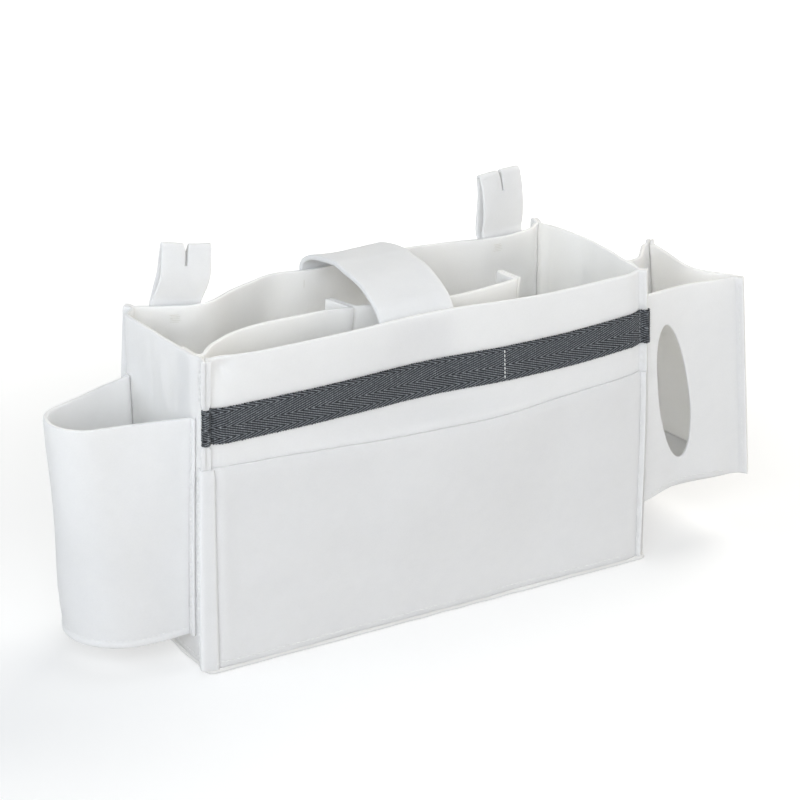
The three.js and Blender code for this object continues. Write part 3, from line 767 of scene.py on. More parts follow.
def squeeze_fin(cloth, end):
    """The webbing wrapped round a fin presses its layers thin."""
    z, low = cloth.points[..., 2], web_low(cloth.points[..., 0])
    share = smooth(low - 3, low + 0.5, z) * (1 - smooth(low + WEB_WIDE - 0.5, low + WEB_WIDE + 3, z))
    cloth.front = mix(cloth.front, -0.1, share * (1 - smooth(5.6, 9, from_ends(cloth)[end])))


def raise_ear(cloth, end, height):
    """The loose top end of a fin stands up a little."""
    top = cloth.v[-1:]
    cloth.points[..., 2] += height * (1 - smooth(3, 8, from_ends(cloth)[end])) * smooth(top - 9, top, cloth.v)
    cloth.face()


def dents(cloth, *spots):
    """Local dents and swells: (along, height, half width, half height, depth)."""
    return sum(depth * bell(cloth.u, u, wide) * bell(cloth.v, v, tall) for u, v, wide, tall, depth in spots)


def seam_puckers(cloth, seed, depth=0.22):
    """Short waves that fade away from the sewn edges."""
    d = np.minimum(*from_ends(cloth))
    side = bell(d, 13, 9) * ripples(seed, 14, 26, depth)(0 * cloth.v, cloth.v)
    base = bell(cloth.v, cloth.v[:1], 14) * ripples(seed + 1, 16, 34, depth)(cloth.u, 0 * cloth.u)
    return side + base * smooth(8, 16, d)


def slack(cloth, ripple, crease):
    """The waves and creases of a sheet's face."""
    return away_from_fins(cloth) * (ripple(cloth.u, cloth.v) + crease(cloth.u, cloth.v))


# The walls of the main box
BARTACKS = [(-146.0, 216.0), (124.0, 217.0)]  # where the loops are sewn through the back wall
NEAR_TOP = -12  # a row of the back wall's grid
front_field = ripples(11, 70, 190, 0.55)


def pocket_bulge(x, z):
    """How far the slack pocket, and the panel behind it, stand out from the box."""
    ends = smooth(CORNER, 34, HALF_LENGTH + x) * smooth(CORNER, 34, HALF_LENGTH - x)
    return (1.5 * ends + 8 * bump(x, 0, HALF_LENGTH - CORNER)) * smooth(FOOT, 146, z)


def pocket_edge(x):
    return 149 - 5.5 * bump(x, 20, HALF_LENGTH)


def front_bulge(x, z):
    edge = pocket_edge(x)
    return pocket_bulge(x, np.minimum(z, edge)) * (1 - smooth(edge - 1, edge + 19, z))


def front_top(x):
    return HEIGHT - 2 * bump(x, 95, 75)


def wall(line, radius, top=HEIGHT):
    return standing(line, WALL_FOOT, top, step=3.2, rise=3.2, radius=radius, foot=WALL_STEPS, rims=SEWN)


def front_wall():
    cloth = wall(front_line, 3.2, front_top)
    x, z = cloth.points[..., 0], cloth.points[..., 2]
    loose = front_field(x, z) - crumple(60, 34, 0.2, (380, 230))(cloth.u, cloth.v)
    marks = dents(cloth, (16, 216.5, 5.5, 5.5, -5), (300, 205, 26, 14, 0.8))
    cloth.push(away_from_fins(cloth) * loose + front_bulge(x, z) + drawn_in(cloth) + marks)
    sew_fins(cloth)
    covered = mix(FABRIC / 2 + 0.15, cloth.front, smooth(7, 10, np.minimum(*from_ends(cloth))))
    cloth.front = np.where(cloth.v < pocket_edge(cloth.points[..., 0]) - 1, covered, cloth.front)
    squeeze_fin(cloth, 0)
    squeeze_fin(cloth, 1)
    return cloth


def right_wall():
    cloth = wall(right_line, 2.4)
    y = cloth.points[..., 1]
    loose = slack(cloth, ripples(12, 50, 130, 0.5), crumple(63, 28, 0.25, (150, 230)))
    cloth.push(calm(y, -57, -38) * calm(y, 10, 23) * (loose + seam_puckers(cloth, 31)) + drawn_in(cloth))
    sew_fins(cloth)
    squeeze_fin(cloth, 0)
    raise_ear(cloth, 1, 1.6)
    return cloth


def along_back(cloth, x):
    """The length along the back wall at an x near its top."""
    return float(np.interp(-x, -cloth.points[NEAR_TOP, :, 0], cloth.u[0]))


def back_wall():
    """The wall, and its bartacks' lengths along it and heights."""
    cloth = wall(back_line, 2.4)
    tacks = [(along_back(cloth, x), z) for x, z in BARTACKS]
    loose = slack(cloth, ripples(13, 60, 170, 0.55), crumple(64, 30, 0.25, (420, 230)))
    marks = dents(cloth, *((u, z, 6, 5, 0.9) for u, z in tacks))
    cloth.push(loose + drawn_in(cloth) + seam_puckers(cloth, 32) + marks)
    sew_fins(cloth)
    raise_ear(cloth, 0, 1.9)
    raise_ear(cloth, 1, 1.5)
    return cloth, tacks


def left_wall():
    cloth = wall(left_line, 3.2)
    y = cloth.points[..., 1]
    loose = slack(cloth, ripples(14, 50, 130, 0.5), crumple(65, 26, -0.25, (150, 230)))
    marks = dents(cloth, (56, 190, 3.5, 32, -0.6), (72, 196, 5, 26, 0.5))
    loose = calm(y, -58, -30) * calm(y, 33, 47) * (loose + seam_puckers(cloth, 33))
    cloth.push(loose + drawn_in(cloth) + marks)
    sew_fins(cloth)
    squeeze_fin(cloth, 1)
    raise_ear(cloth, 0, 1.2)
    return cloth


front, right, left = front_wall(), right_wall(), left_wall()
back, back_tacks = back_wall()
for side, cloth in (("front", front), ("right_end", right), ("back", back), ("left_end", left)):
    add_cloth(f"{side}_wall", cloth, [f"{side}_panel"], "stretched")

# Base
BASE_LENGTH, BASE_DEPTH, BASE_CORNER, BASE_STEP = 363.0, 129.0, 5.0, 4.0


def base_outline():
    """A rounded rectangle with a slightly uneven edge."""
    x, y = BASE_LENGTH / 2 - BASE_CORNER, BASE_DEPTH / 2 - BASE_CORNER
    line = []
    for turn, corner in ((-90, (x, -y)), (0, (x, y)), (90, (-x, y)), (180, (-x, -y))):
        line += [corner + BASE_CORNER * heading(turn + a) for a in np.linspace(0, 90, CURVE_POINTS)]
    line = closed(np.array(line))
    line = even_line(line, int(arc_length(line)[-1] / BASE_STEP))[:-1]
    line = line + unit(line) * (ripples(41, 22, 60, 0.35)(line[:, 0], line[:, 1]) - 0.3)[:, None]
    line[:, 1] -= 2.0 * (line[:, 1] < 0)  # the pocket's layer widens the lip in front
    line[:, 0] += 1.3 * (line[:, 0] < 0)
    return line


add_plate("base_cloth", base_outline(), 0.0, "base_panel")

# Front pocket
POCKET_FOLD = 15.5  # length of the pocket's cloth that is folded round the left seam's own margins
FOLD_OUT = 7.6  # from that seam to the fold


def pocket_line(z):
    share = smooth(0, 150, z)
    rear, near = mix(-6.0, -3.9, share), mix(4.2, 5.0, share)
    fold = [FRONT_LEFT.beside(z, *bend) for bend in ((1, rear), (FOLD_OUT, rear), (FOLD_OUT, near))]
    return np.concatenate([fold, offset(front_line(z), FABRIC + GAP)[1:]])


def packing_creases(x, z):
    """Faint lines where the cloth was folded for packing."""
    level = bell(z - 0.012 * x, 43.5, 1.7) * smooth(-120, -80, x) * (1 - smooth(20, 70, x))
    left_line_up = bell(x, -102, 2.2) * smooth(10, 40, z) * (1 - smooth(95, 135, z))
    right_line_up = bell(x - 0.06 * z, 92, 3.5) * smooth(20, 60, z)
    return 0.22 * level + 0.18 * left_line_up - 0.2 * right_line_up


def pocket_cloth():
    over_fold = np.arange(2.1, POCKET_FOLD + 13, 0.75)
    cloth = standing(pocket_line, WALL_FOOT, pocket_edge, start=over_fold, step=2.6, rise=1.7, radius=1.7,
                     foot=WALL_STEPS, rims=SEWN)
    cloth.folded = POCKET_FOLD
    cloth.inside = (0, 0)
    x, z = cloth.points[..., 0], cloth.points[..., 2]
    loose = front_field(x, z) + packing_creases(x, z) - crumple(61, 40, 0.16, (380, 160))(cloth.u, cloth.v)
    sewn = drawn_in(cloth) + seam_puckers(cloth, 34, 0.12)
    cloth.push(away_from_fins(cloth) * loose + pocket_bulge(x, z) + sewn)
    sew_fins(cloth)
    cloth.front = cloth.front * mix(0.75, 1, smooth(0, 9, from_ends(cloth)[0]))  # pressed flat on the seam
    below_edge = cloth.v[-1:] - cloth.v  # the top hem is pressed thin and lies close to the panel behind it
    cloth.front = cloth.front * mix(0.3, 1, smooth(0, 6, below_edge))
    cloth.back = cloth.back + 0.15 * (1 - smooth(6, 20, below_edge))
    return cloth


pocket = pocket_cloth()
add_cloth("front_pocket", pocket, ["front_pocket_panel"], "hung", ["front_panel"])

# Webbing: a twill whose ridges turn at the edges of its zones
RIDGE = 5.2  # length between two ridges
SLANT = 3.1  # how far a ridge runs along the band for each millimetre across it
ZONES = np.array([0, 4, 11.8, 22.4, WEB_WIDE])
WRAP = 2.3  # from a seam to the middle of the webbing wrapped round it
WEB_HEM = 1.2  # from the band's edge to its first full row, and to the ends of its stitches
SCALLOP, SCALLOP_PITCH, SCALLOP_DEPTH = 0.24, 2.0, 0.8


def webbing_line(z):
    face = face_of(offset(front_line(z), FABRIC / 2 + GAP + WEB / 2))
    tip = SEAM_MARGIN + GAP + WEB / 2
    bends = ((4.5, -WRAP), (tip, -WRAP), (tip, WRAP), (1.2, WRAP + 0.3))
    start = [FRONT_LEFT.beside(z, away, across) for away, across in bends]
    end = [FRONT_RIGHT.beside(z, away, -across) for away, across in bends]
    return np.concatenate([start, face, end[::-1]])


def webbing_sheet():
    """The band with its columns along the ridges, each point's height on its ridge, and its plain grid."""
    base = standing(webbing_line, web_low, lambda x: web_low(x) + WEB_WIDE, WEB, step=1.5, rise=2.5,
                    radius=1.4)
    length = base.u[0, -1]
    rim = RIM_STEPS / 2
    heights = [rim, np.linspace(WEB_HEM, WEB_WIDE - WEB_HEM, 30), WEB_WIDE - rim, ZONES]
    heights = np.unique(np.round(np.concatenate(heights), 4))
    lean = np.concatenate([[0], np.cumsum(np.diff(ZONES) * np.array([1, -1, 1, -1]) * SLANT)])
    shear = np.interp(heights, ZONES, lean)
    step = RIDGE / 8
    columns = np.arange(-shear.max() - step, length - shear.min() + 2 * step, step)
    u = np.clip(columns + shear[:, None], 0, length)
    v = np.broadcast_to(heights[:, None], u.shape).copy()
    face_heights = base.v[:, base.v.shape[1] // 2]
    i = np.interp(u, base.u[0], np.arange(base.u.shape[1]))
    j = np.interp(v, face_heights - face_heights[0], np.arange(base.v.shape[0]))
    points = grid_at(base.points, j, i)
    scallop = SCALLOP * np.cos(2 * math.pi * u / SCALLOP_PITCH)
    points[..., 2] += scallop * (bell(v, WEB_WIDE, SCALLOP_DEPTH) - bell(v, 0, SCALLOP_DEPTH))
    edge = both_rims(u, length, RIM / 2) * both_rims(v, WEB_WIDE, RIM / 2)
    # The ridge value also places the painted highlight on the ridge tops in the webbing's colour.
    ridge = np.broadcast_to(0.5 + 0.5 * np.cos(2 * math.pi * columns / RIDGE), u.shape)
    return Cloth(points, u, v, WEB, edge), ridge, base


def slanted_mesh(cloth, ridge):
    """A closed mesh of a sheet whose columns are cut off at both ends."""
    rows, columns = cloth.u.shape
    ids = np.arange(rows * columns).reshape(rows, columns)
    cut_low, cut_high = cloth.u <= 0, cloth.u >= cloth.u.max()
    for j in range(rows):
        ids[j, cut_low[j]] = ids[j, np.nonzero(cut_low[j])[0][-1]]
        ids[j, cut_high[j]] = ids[j, np.nonzero(cut_high[j])[0][0]]
    rim = cut_low | cut_high
    rim[0] = rim[-1] = True
    under = np.where(rim, ids, ids + ids.size)
    points = np.concatenate([side.reshape(-1, 3) for side in cloth.sides(np.where(rim, 0, cloth.edge))])
    places = np.stack([cloth.u, cloth.v, ridge], 2).reshape(-1, 3)
    faces = []
    for j in range(rows - 1):
        for i in range(columns - 1):
            for grid, turn in ((ids, 1), (under, -1)):
                face = list(dict.fromkeys(int(grid[c]) for c in quad(j, i)[::turn]))
                if len(face) > 2:
                    faces.append(face)
    used = np.unique(np.concatenate([np.array(f) for f in faces]))
    new = np.zeros(len(points), int)
    new[used] = np.arange(len(used))
    return points[used], [new[f] for f in faces], np.concatenate([places, places * [1, 1, 0]])[used]


web, web_ridge, web_base = webbing_sheet()
for cloth in (web, web_base):
    web_x, web_z = cloth.points[..., 0], cloth.points[..., 2]
    cloth.push(away_from_fins(cloth) * front_field(web_x, web_z) + front_bulge(web_x, web_z))
web.front = 0.55 + 0.3 * web_ridge ** 0.8
web_piece = make_object("webbing_band", *slanted_mesh(web, web_ridge), WEBBING)
register(web_piece, ["front_webbing"], WEBBED, flat=(web.u.max() * MM, WEB_WIDE * MM), held="stretched",
         rests_on=["front_panel"])

# Cup pocket
CUP_FLOOR, CUP_RIM, CUP_LIP = 22.0, 182.0, 3.8
CUP_FLANGE = np.array([2.2, 3.2, 4.1, 5, 5.9, 6.9, 8.2])  # stations over a sewn edge
CUP_FOOT = np.array([2.2, 3.0, 3.7, 4.3, 4.9, 5.6, 6.6, 8.4])
SEWN_IN = 1.0  # how far a pocket's floor reaches into the cloth round it


def lipped_foot(depth):
    """A sewn lip round the bottom, with the wall drawn in above it."""
    step = smooth(CUP_LIP - 0.9, CUP_LIP + 0.9, depth)
    return 0.6 * step * (1 - smooth(CUP_LIP + 1, 24, depth)) - 0.25 * (1 - step)


def cup_line(z):
    """A flange on the end wall, a straight side, the round nose, the other side and its flange."""
    share = (z - CUP_FLOOR) / (CUP_RIM - CUP_FLOOR)
    radius = mix(39, 26, share)
    nose = np.array([-HALF_LENGTH - mix(77.5, 87.5, share) + radius, mix(-3, -13, share)])
    wall_face = face_of(offset(left_line(z), FABRIC - 0.6))  # sewn down hard
    joins_at = (mix(-42, -51.5, share), 39)
    joins = [crossing(wall_face, y) for y in joins_at]

    def touch(join, turn):
        """The angle at which a straight side meets the nose."""
        to_nose = nose - join
        lift = math.asin(radius / np.linalg.norm(to_nose))
        return math.atan2(to_nose[1], to_nose[0]) + turn * (math.pi / 2 + lift)

    first, last = touch(joins[0], 1), touch(joins[1], -1)
    sweep = (first - last) % (2 * math.pi)
    angles = first - sweep * np.linspace(0, 1, 40)
    arc = nose + radius * np.stack([np.cos(angles), np.sin(angles)], 1)
    steps = np.linspace(0, 1, 14)[1:-1, None]
    sides = [mix(joins[0], arc[0], steps), mix(arc[-1], joins[1], steps)]
    flanges = []
    for y, wide in zip(joins_at, (mix(-6.5, -3.6, share), 5)):
        flanges.append([crossing(wall_face, y + s * wide) for s in (1, 0.67, 0.33)])
    return np.concatenate([flanges[0], joins[:1], sides[0], arc, sides[1], joins[1:], flanges[1][::-1]])


def cup_cloth():
    cloth = standing(cup_line, CUP_FLOOR, CUP_RIM, start=CUP_FLANGE, end=CUP_FLANGE, step=3.2, rise=3.0,
                     radius=1.8, foot=CUP_FOOT)
    loose = ripples(15, 45, 120, 0.5)(cloth.u, cloth.v) - crumple(62, 21, 0.45, (320, 210))(cloth.u, cloth.v)
    cloth.push(away_from_fins(cloth, 7, 20) * (loose + lipped_foot(cloth.v - CUP_FLOOR)))
    cloth.inside = (2, 0)
    return cloth


def along_wall(wall_face, start, end):
    """The part of a wall's plan line from one y down to another."""
    line = wall_face if wall_face[0, 1] > wall_face[-1, 1] else wall_face[::-1]
    start, end = np.clip([start, end], line[:, 1].min(), line[:, 1].max())
    between = line[(line[:, 1] < start) & (line[:, 1] > end)]
    return np.concatenate([[crossing(line, start)], between, [crossing(line, end)]])


def cup_base_outline():
    level = CUP_FLOOR + FABRIC / 2
    inner = FABRIC / 2 - SEWN_IN
    cup_in = offset(cup_line(level)[3:-3], inner)
    wall_in = along_wall(face_of(offset(left_line(level), inner)), cup_in[-1, 1], cup_in[0, 1])
    return even_line(closed(np.concatenate([cup_in, wall_in])), 110)[:-1][::-1]


cup = cup_cloth()
add_cloth("cup_wall", cup, ["cup_pocket_wall"], "stretched", ["left_end_panel"])
add_plate("cup_base_cloth", cup_base_outline(), CUP_FLOOR, "cup_pocket_base", 2)

# Tissue pocket
TISSUE_FLOOR, TISSUE_TOP = 45.0, 203.0
TISSUE_Y = 3 - HALF_DEPTH
TURNED = np.array([2.4, 4.2, 6.0, 7.2, 8.2, 9.2, 10.2, 11.4, 13.0, 14.2, 15.4, 17.0])  # over a turned margin


def tissue_lean(z):
    return (z - TISSUE_FLOOR) / (TISSUE_TOP - TISSUE_FLOOR)


TISSUE_FRONT = Seam(HALF_LENGTH + 98.5, TISSUE_Y, (-14, 0), tissue_lean, (1, -1))
TISSUE_REAR = Seam(HALF_LENGTH + 94, TISSUE_Y + 95, (-18, -1), tissue_lean, (1, 1))


def right_join(z, y):
    return crossing(face_of(offset(right_line(z), FABRIC + GAP)), y)


def tissue_swell(z, depth, d, at, half):
    """How far a panel stands out, less a hollow that deepens towards the top."""
    return LAYER - max(tissue_lean(z), 0) ** 1.3 * depth * bump(d, at, half)


def tissue_front_line(z):
    margin = right_join(z, TISSUE_Y + CORNER + 3)
    join = np.array([margin[0], TISSUE_Y])
    face = face_line(join, TISSUE_FRONT.at(z), lambda d, length: -3 * bump(d, 40, 38))
    return np.concatenate([[margin, join], face[len(NEAR_SEAM):], TISSUE_FRONT.margin(z, -1)])


def tissue_end_line(z):
    def swell(d, length):
        return tissue_swell(z, 13.5, d, 36, np.where(d < 36, 40, 62))

    face = face_line(TISSUE_FRONT.at(z), TISSUE_REAR.at(z), swell)
    return np.concatenate([TISSUE_FRONT.margin(z, 1)[::-1], face, TISSUE_REAR.margin(z, -1)])


def tissue_back_line(z):
    y = 79 - HALF_DEPTH
    join, margin = right_join(z, y), right_join(z, y - 8)
    face = face_line(TISSUE_REAR.at(z), join, lambda d, length: tissue_swell(z, 19, d, 35, 35))
    return np.concatenate([TISSUE_REAR.margin(z, 1)[::-1], face[:-len(NEAR_SEAM)], [join, margin]])


def tissue_foot(x):
    """The front panel's lower edge is drawn up between its two sewn sides."""
    away = np.clip(np.asarray(x, float), 180, 290) - 235
    return 47 - np.where(away < 0, 7 * (away / 51) ** 2, 2.6 * (away / 45) ** 2)


def tissue_panel(line, low, ripple, fins, fade=(9, 24), **shape):
    cloth = standing(line, low, TISSUE_TOP, **shape)
    cloth.push(away_from_fins(cloth, *fade) * ripple(cloth.u, cloth.v))
    sew_fins(cloth, fins)
    cloth.inside = (0, 2)
    return cloth


tissue_front = tissue_panel(tissue_front_line, tissue_foot, ripples(16, 40, 110, 0.35), [1], (16, 30),
                            start=TURNED, step=3.0, rise=3.0, radius=3.0)
tissue_end = tissue_panel(tissue_end_line, TISSUE_FLOOR, ripples(17, 40, 100, 0.45), [0, 1], step=3.5)
tissue_back = tissue_panel(tissue_back_line, TISSUE_FLOOR, ripples(18, 40, 100, 0.45), [0], end=TURNED[:8],
                           step=3.5, radius=2.6)
raise_ear(tissue_end, 1, 1.6)
raise_ear(tissue_back, 0, 1.8)

# Oval hole in the tissue pocket's front
OVAL_X, OVAL_Z, OVAL_TILT = HALF_LENGTH + 34, 122.0, 8.0
OVAL_RADII = np.array([14.5, 54.5])
OVAL_AXES = np.array([heading(OVAL_TILT), left_of(heading(OVAL_TILT))])
OVAL_ROOM = (27.0, 64.0)  # half the size of the part of the grid that makes way for the hole
OVAL_STEPS = ((2.2, 0.3), (4.0, 0.45), (6.5, 0.6))  # places beyond its rim, at most that share of the way out


def oval_room(cloth):
    """The first and last row and column of the grid round the hole, and its points along them in order."""
    x, z = cloth.points[..., 0], cloth.points[..., 2]
    middle = len(x) // 2
    face = np.nonzero(cloth.u[middle] > TURNED[-1])[0]
    first, last = (face[np.searchsorted(x[middle, face], OVAL_X + side * OVAL_ROOM[0])] for side in (-1, 1))
    column = z[:, (first + last) // 2]
    low, high = (int(np.searchsorted(column, OVAL_Z + side * OVAL_ROOM[1])) for side in (-1, 1))
    ring = [(low, i) for i in range(first, last)] + [(j, last) for j in range(low, high)]
    ring += [(high, i) for i in range(last, first, -1)] + [(j, first) for j in range(high, low, -1)]
    return low, high, first, last, ring


def oval_mesh(cloth):
    """The sheet with spokes of faces, from the hole's edge out to the grid, in place of the grid there."""
    low, high, first, last, ring = oval_room(cloth)
    rows, columns = cloth.u.shape
    cloth.keep[low:high, first:last] = False
    used = np.ones((rows, columns), bool)
    used[low + 1:high, first + 1:last] = False
    inner = used.copy()
    inner[[0, -1]] = False
    inner[:, [0, -1]] = False
    points, faces, places, top, under = (part.tolist() for part in cloth.shell(used, inner))
    middle, window = (low + high) // 2, slice(first, last + 1)
    centre = np.array([np.interp(OVAL_X, cloth.points[middle, window, 0], cloth.u[middle, window]), OVAL_Z])

    def add_point(spot, half, mark):
        """A point at a place given in the oval's own axes, half a thickness from the sheet's middle."""
        u, v = centre + spot @ OVAL_AXES
        i = np.interp(u, cloth.u[middle, window], np.arange(first, last + 1))
        j = np.interp(v, cloth.v[:, min(int(i), columns - 2)], np.arange(rows))
        points.append(grid_at(cloth.points, j, i) + half * unit(grid_at(cloth.normals, j, i)))
        places.append([u, v, mark])
        return len(points) - 1

    def spoke(j, i):
        """The numbers of the points from the hole's edge out to one of the grid's points, on both faces."""
        far = OVAL_AXES @ (np.array([cloth.u[j, i], cloth.v[j, i]]) - centre)
        way = unit(far / OVAL_RADII)
        edge, normal = OVAL_RADII * way, unit(way / OVAL_RADII)
        room = np.linalg.norm(far - edge)
        depths = [*RIM_STEPS, *(min(depth, share * room) for depth, share in OVAL_STEPS)]
        spots = [edge + normal * depth for depth in depths]
        spots += [mix(spots[-1], far, t) for t in (0.33, 0.66)]
        halves = [*(rim_share(depth) * FABRIC / 2 for depth in depths), FABRIC / 2, FABRIC / 2]
        outer = [add_point(spot, half, 0) for spot, half in zip(spots, halves)]
        inside_painted_light = [add_point(spot, -half, 2) for spot, half in zip(spots[1:], halves[1:])]
        return [*outer, top[j][i]], [outer[0], *inside_painted_light, under[j][i]]

    spokes = [spoke(j, i) for j, i in ring]
    for (a, a_under), (b, b_under) in zip(spokes, spokes[1:] + spokes[:1]):
        for k in range(len(a) - 1):
            faces.append([a[k], a[k + 1], b[k + 1], b[k]])
            faces.append([a_under[k], b_under[k], b_under[k + 1], a_under[k + 1]])
    return points, faces, places


def add_oval_front(cloth):
    piece = make_object("tissue_front_cloth", *oval_mesh(cloth))
    width, length = cloth.flat_size()
    hole = math.pi * float(OVAL_RADII.prod()) * MM * MM
    register(piece, ["tissue_front_panel"], flat=(width, length), held="stretched",
             rests_on=["right_end_panel"], area=width * length - hole)


def tissue_base_outline():
    level = TISSUE_FLOOR + FABRIC / 2
    inner = SEWN_IN - FABRIC / 2
    front_in = offset(tissue_front_line(level), inner)[1:-6]
    end_in = offset(tissue_end_line(level), inner)[6:-6]
    rear_in = offset(tissue_back_line(level), inner)[6:-1]
    corners = [seam.at(level) - 0.3 * FABRIC * seam.out for seam in (TISSUE_FRONT, TISSUE_REAR)]
    wall_in = along_wall(face_of(offset(right_line(level), -inner)), rear_in[-1, 1], front_in[0, 1])
    line = np.concatenate([front_in, corners[:1], end_in, corners[1:], rear_in, wall_in])
    return even_line(closed(line), 140)[:-1]


add_oval_front(tissue_front)
add_cloth("tissue_end_cloth", tissue_end, ["tissue_end_panel"], "stretched")
add_cloth("tissue_back_cloth", tissue_back, ["tissue_back_panel"], "stretched", ["right_end_panel"])
add_plate("tissue_base_cloth", tissue_base_outline(), TISSUE_FLOOR, "tissue_base_panel", 2)

# Dividers
DIVIDER_TOP = 224.0
DIVIDER_SEAM = (129, 40.5)  # from the front left corner
SEAM_BACK, FOLD_BACK = 106, 97  # which way the seam's margins and the folded end point, in degrees
TAB_LONG, FOLD_LONG = 25.0, 20.0
TAB = np.array([2.4, 5, 9, 13, 17, 19.5, 21, 22, 23, 24, 25, 26, 27.2, 29, 31.5])
TURNED_BACK = np.concatenate([[2.4, 5, 8, 10.5], np.arange(12, 27, 1.1), [28, 30.5]])
FIRST_FOLD = [2.4, 5, 8.5, 12, 15, 17, 18.6, 19.4, 20.2, 20.9, 21.6, 22.3, 23, 23.8, 25]
FOLDED_END = np.concatenate([FIRST_FOLD, np.arange(26.5, 41, 2), [41.4, 42.3, 43.2, 44.2, 45.4, 47]])
LEFT_WAY = [(5.5, 17.3), (12, 24), (22.6, 31.4), (34, 37), (51, 41), (67, 43), (99, 44.5), (116, 43)]
RIGHT_WAY = [(155, 33), (200, 24.5), (240, 29), (257, 33.5)]


def from_corner(z, *spots):
    """Points counted from the box's front left corner."""
    corner = np.array([6 * body_lean(z) - HALF_LENGTH, -4 * body_lean(z) - HALF_DEPTH])
    return corner + np.array(spots)


def divider_left_line(z):
    """From the left wall, where it is sewn on and turned back, to its seam with the other divider."""
    corner, seam, *way = from_corner(z, (0, 0), DIVIDER_SEAM, *LEFT_WAY)
    back_way = heading(SEAM_BACK)
    bend = seam + LAYER * left_of(back_way)
    wall_face = face_of(offset(left_line(z), -FABRIC - GAP))
    sewn = [crossing(wall_face, corner[1] + y) for y in (30, 24, 18)]
    turn = [sewn[-1] + step for step in ((1.0, -4.2), (3.2, -6.6), (6.0, -5.6))]
    return np.concatenate([spline([*sewn, *turn, *way, bend], 110), [bend + TAB_LONG * back_way]])


def divider_right_line(z):
    """From that seam to its free end, which is folded back on itself."""
    seam, *way, end = from_corner(z, DIVIDER_SEAM, *RIGHT_WAY)
    back_way, fold = heading(SEAM_BACK), heading(FOLD_BACK)
    bend = seam + LAYER * right_of(back_way)
    ends = [end + side * LAYER * left_of(fold) for side in (1, -1)]
    tips = [p + FOLD_LONG * fold for p in ends]
    face = spline([bend, *way, ends[0]], 60)
    return np.concatenate([[bend + TAB_LONG * back_way], face, [tips[0], tips[1], ends[1]]])


def divider(line, start, end, radius, fade, seed):
    cloth = standing(line, FOOT, DIVIDER_TOP, start=start, end=end, radius=radius)
    cloth.push(away_from_fins(cloth, *fade) * ripples(seed, 60, 150, 0.5)(cloth.u, cloth.v))
    cloth.inside = (1, 1)
    return cloth


divider_left = divider(divider_left_line, TURNED_BACK, TAB, 2.6, (32, 56), 19)
divider_right = divider(divider_right_line, TAB, FOLDED_END, 2.0, (42, 60), 20)
add_cloth("divider_left_cloth", divider_left, ["divider_left_panel"], "hung", ["left_end_panel"])
add_cloth("divider_right_cloth", divider_right, ["divider_right_panel"], "hung", ["divider_left_panel"])

# Carrying strap
STRAP_X, STRAP_WIDE, STRAP_THICK, STRAP_LOW = 164 - HALF_LENGTH, 58.0, 3.8, 197.0
STRAP_SKEW = 6.0  # how far it runs to the right on its way to the back
STRAP_RISE = 18.0
STRAP_EDGE = np.array([2.4, 4.2])  # stations beside its long edges
ARCH = [(1, 0.03), (0.985, 0.22), (0.945, 0.43), (0.83, 0.75), (0.6, 1),
        (0.36, 0.95), (0.18, 0.66), (0.06, 0.27), (0, -0.15)]  # shares of the way back and of the rise


def strap_place(line, middle):
    """The y at which the strap clears the rear face of a wall."""
    places = np.linspace(middle - STRAP_WIDE / 2, middle + STRAP_WIDE / 2, 31)
    faces = [face_of(line(z)) for z in np.linspace(STRAP_LOW, HEIGHT, 11)]
    return max(y_at(face, x) for face in faces for x in places) + FABRIC / 2 + GAP + STRAP_THICK / 2


def strap_cloth():
    near, far = strap_place(front_line, STRAP_X), strap_place(back_line, STRAP_X + STRAP_SKEW)
    arch = spline([(mix(near, far, back_share), HEIGHT + STRAP_RISE * rise) for back_share, rise in ARCH], 80)
    side = np.concatenate([[(far, STRAP_LOW)], arch, [(near, STRAP_LOW)]])
    at = arc_length(side)
    u, v = np.meshgrid(stations(at[-1], 2.5), stations(STRAP_WIDE, 3.5, STRAP_EDGE, STRAP_EDGE))
    y, z = (np.interp(u, at, side[:, k]) for k in (0, 1))
    across = v - STRAP_WIDE / 2
    points = np.stack([STRAP_X + across + STRAP_SKEW * (y - near) / (far - near), y, z], 2)
    cloth = Cloth(points, u, v, STRAP_THICK, both_rims(u, at[-1]) * both_rims(v, STRAP_WIDE))
    free = smooth(30, 48, u) * smooth(30, 48, at[-1] - u)
    sag = 0.9 * (1 - (across / (STRAP_WIDE / 2)) ** 2)
    cloth.push(free * (ripples(21, 30, 80, 0.35)(u, v) + 0.5 * bell(u, 88, 3.2) - sag))
    cloth.inside = (0, 0)
    return cloth


strap = strap_cloth()
# The strap takes the darker copy of the fabric, a painted shade.
add_cloth("handle_strap_cloth", strap, ["handle_strap"], "folded", ["front_panel", "back_panel"],
          material=STRAP_PAINTED_SHADE)

# Hanging loops
LOOP_WIDE, LOOP_THICK, HINGE, ANCHOR_LOW = 34.5, 2.6, 219.5, 199.0
LOOP_FOLD = 2.4  # radius of the fold at the strip's middle
SLIT_DEPTH = 13.0


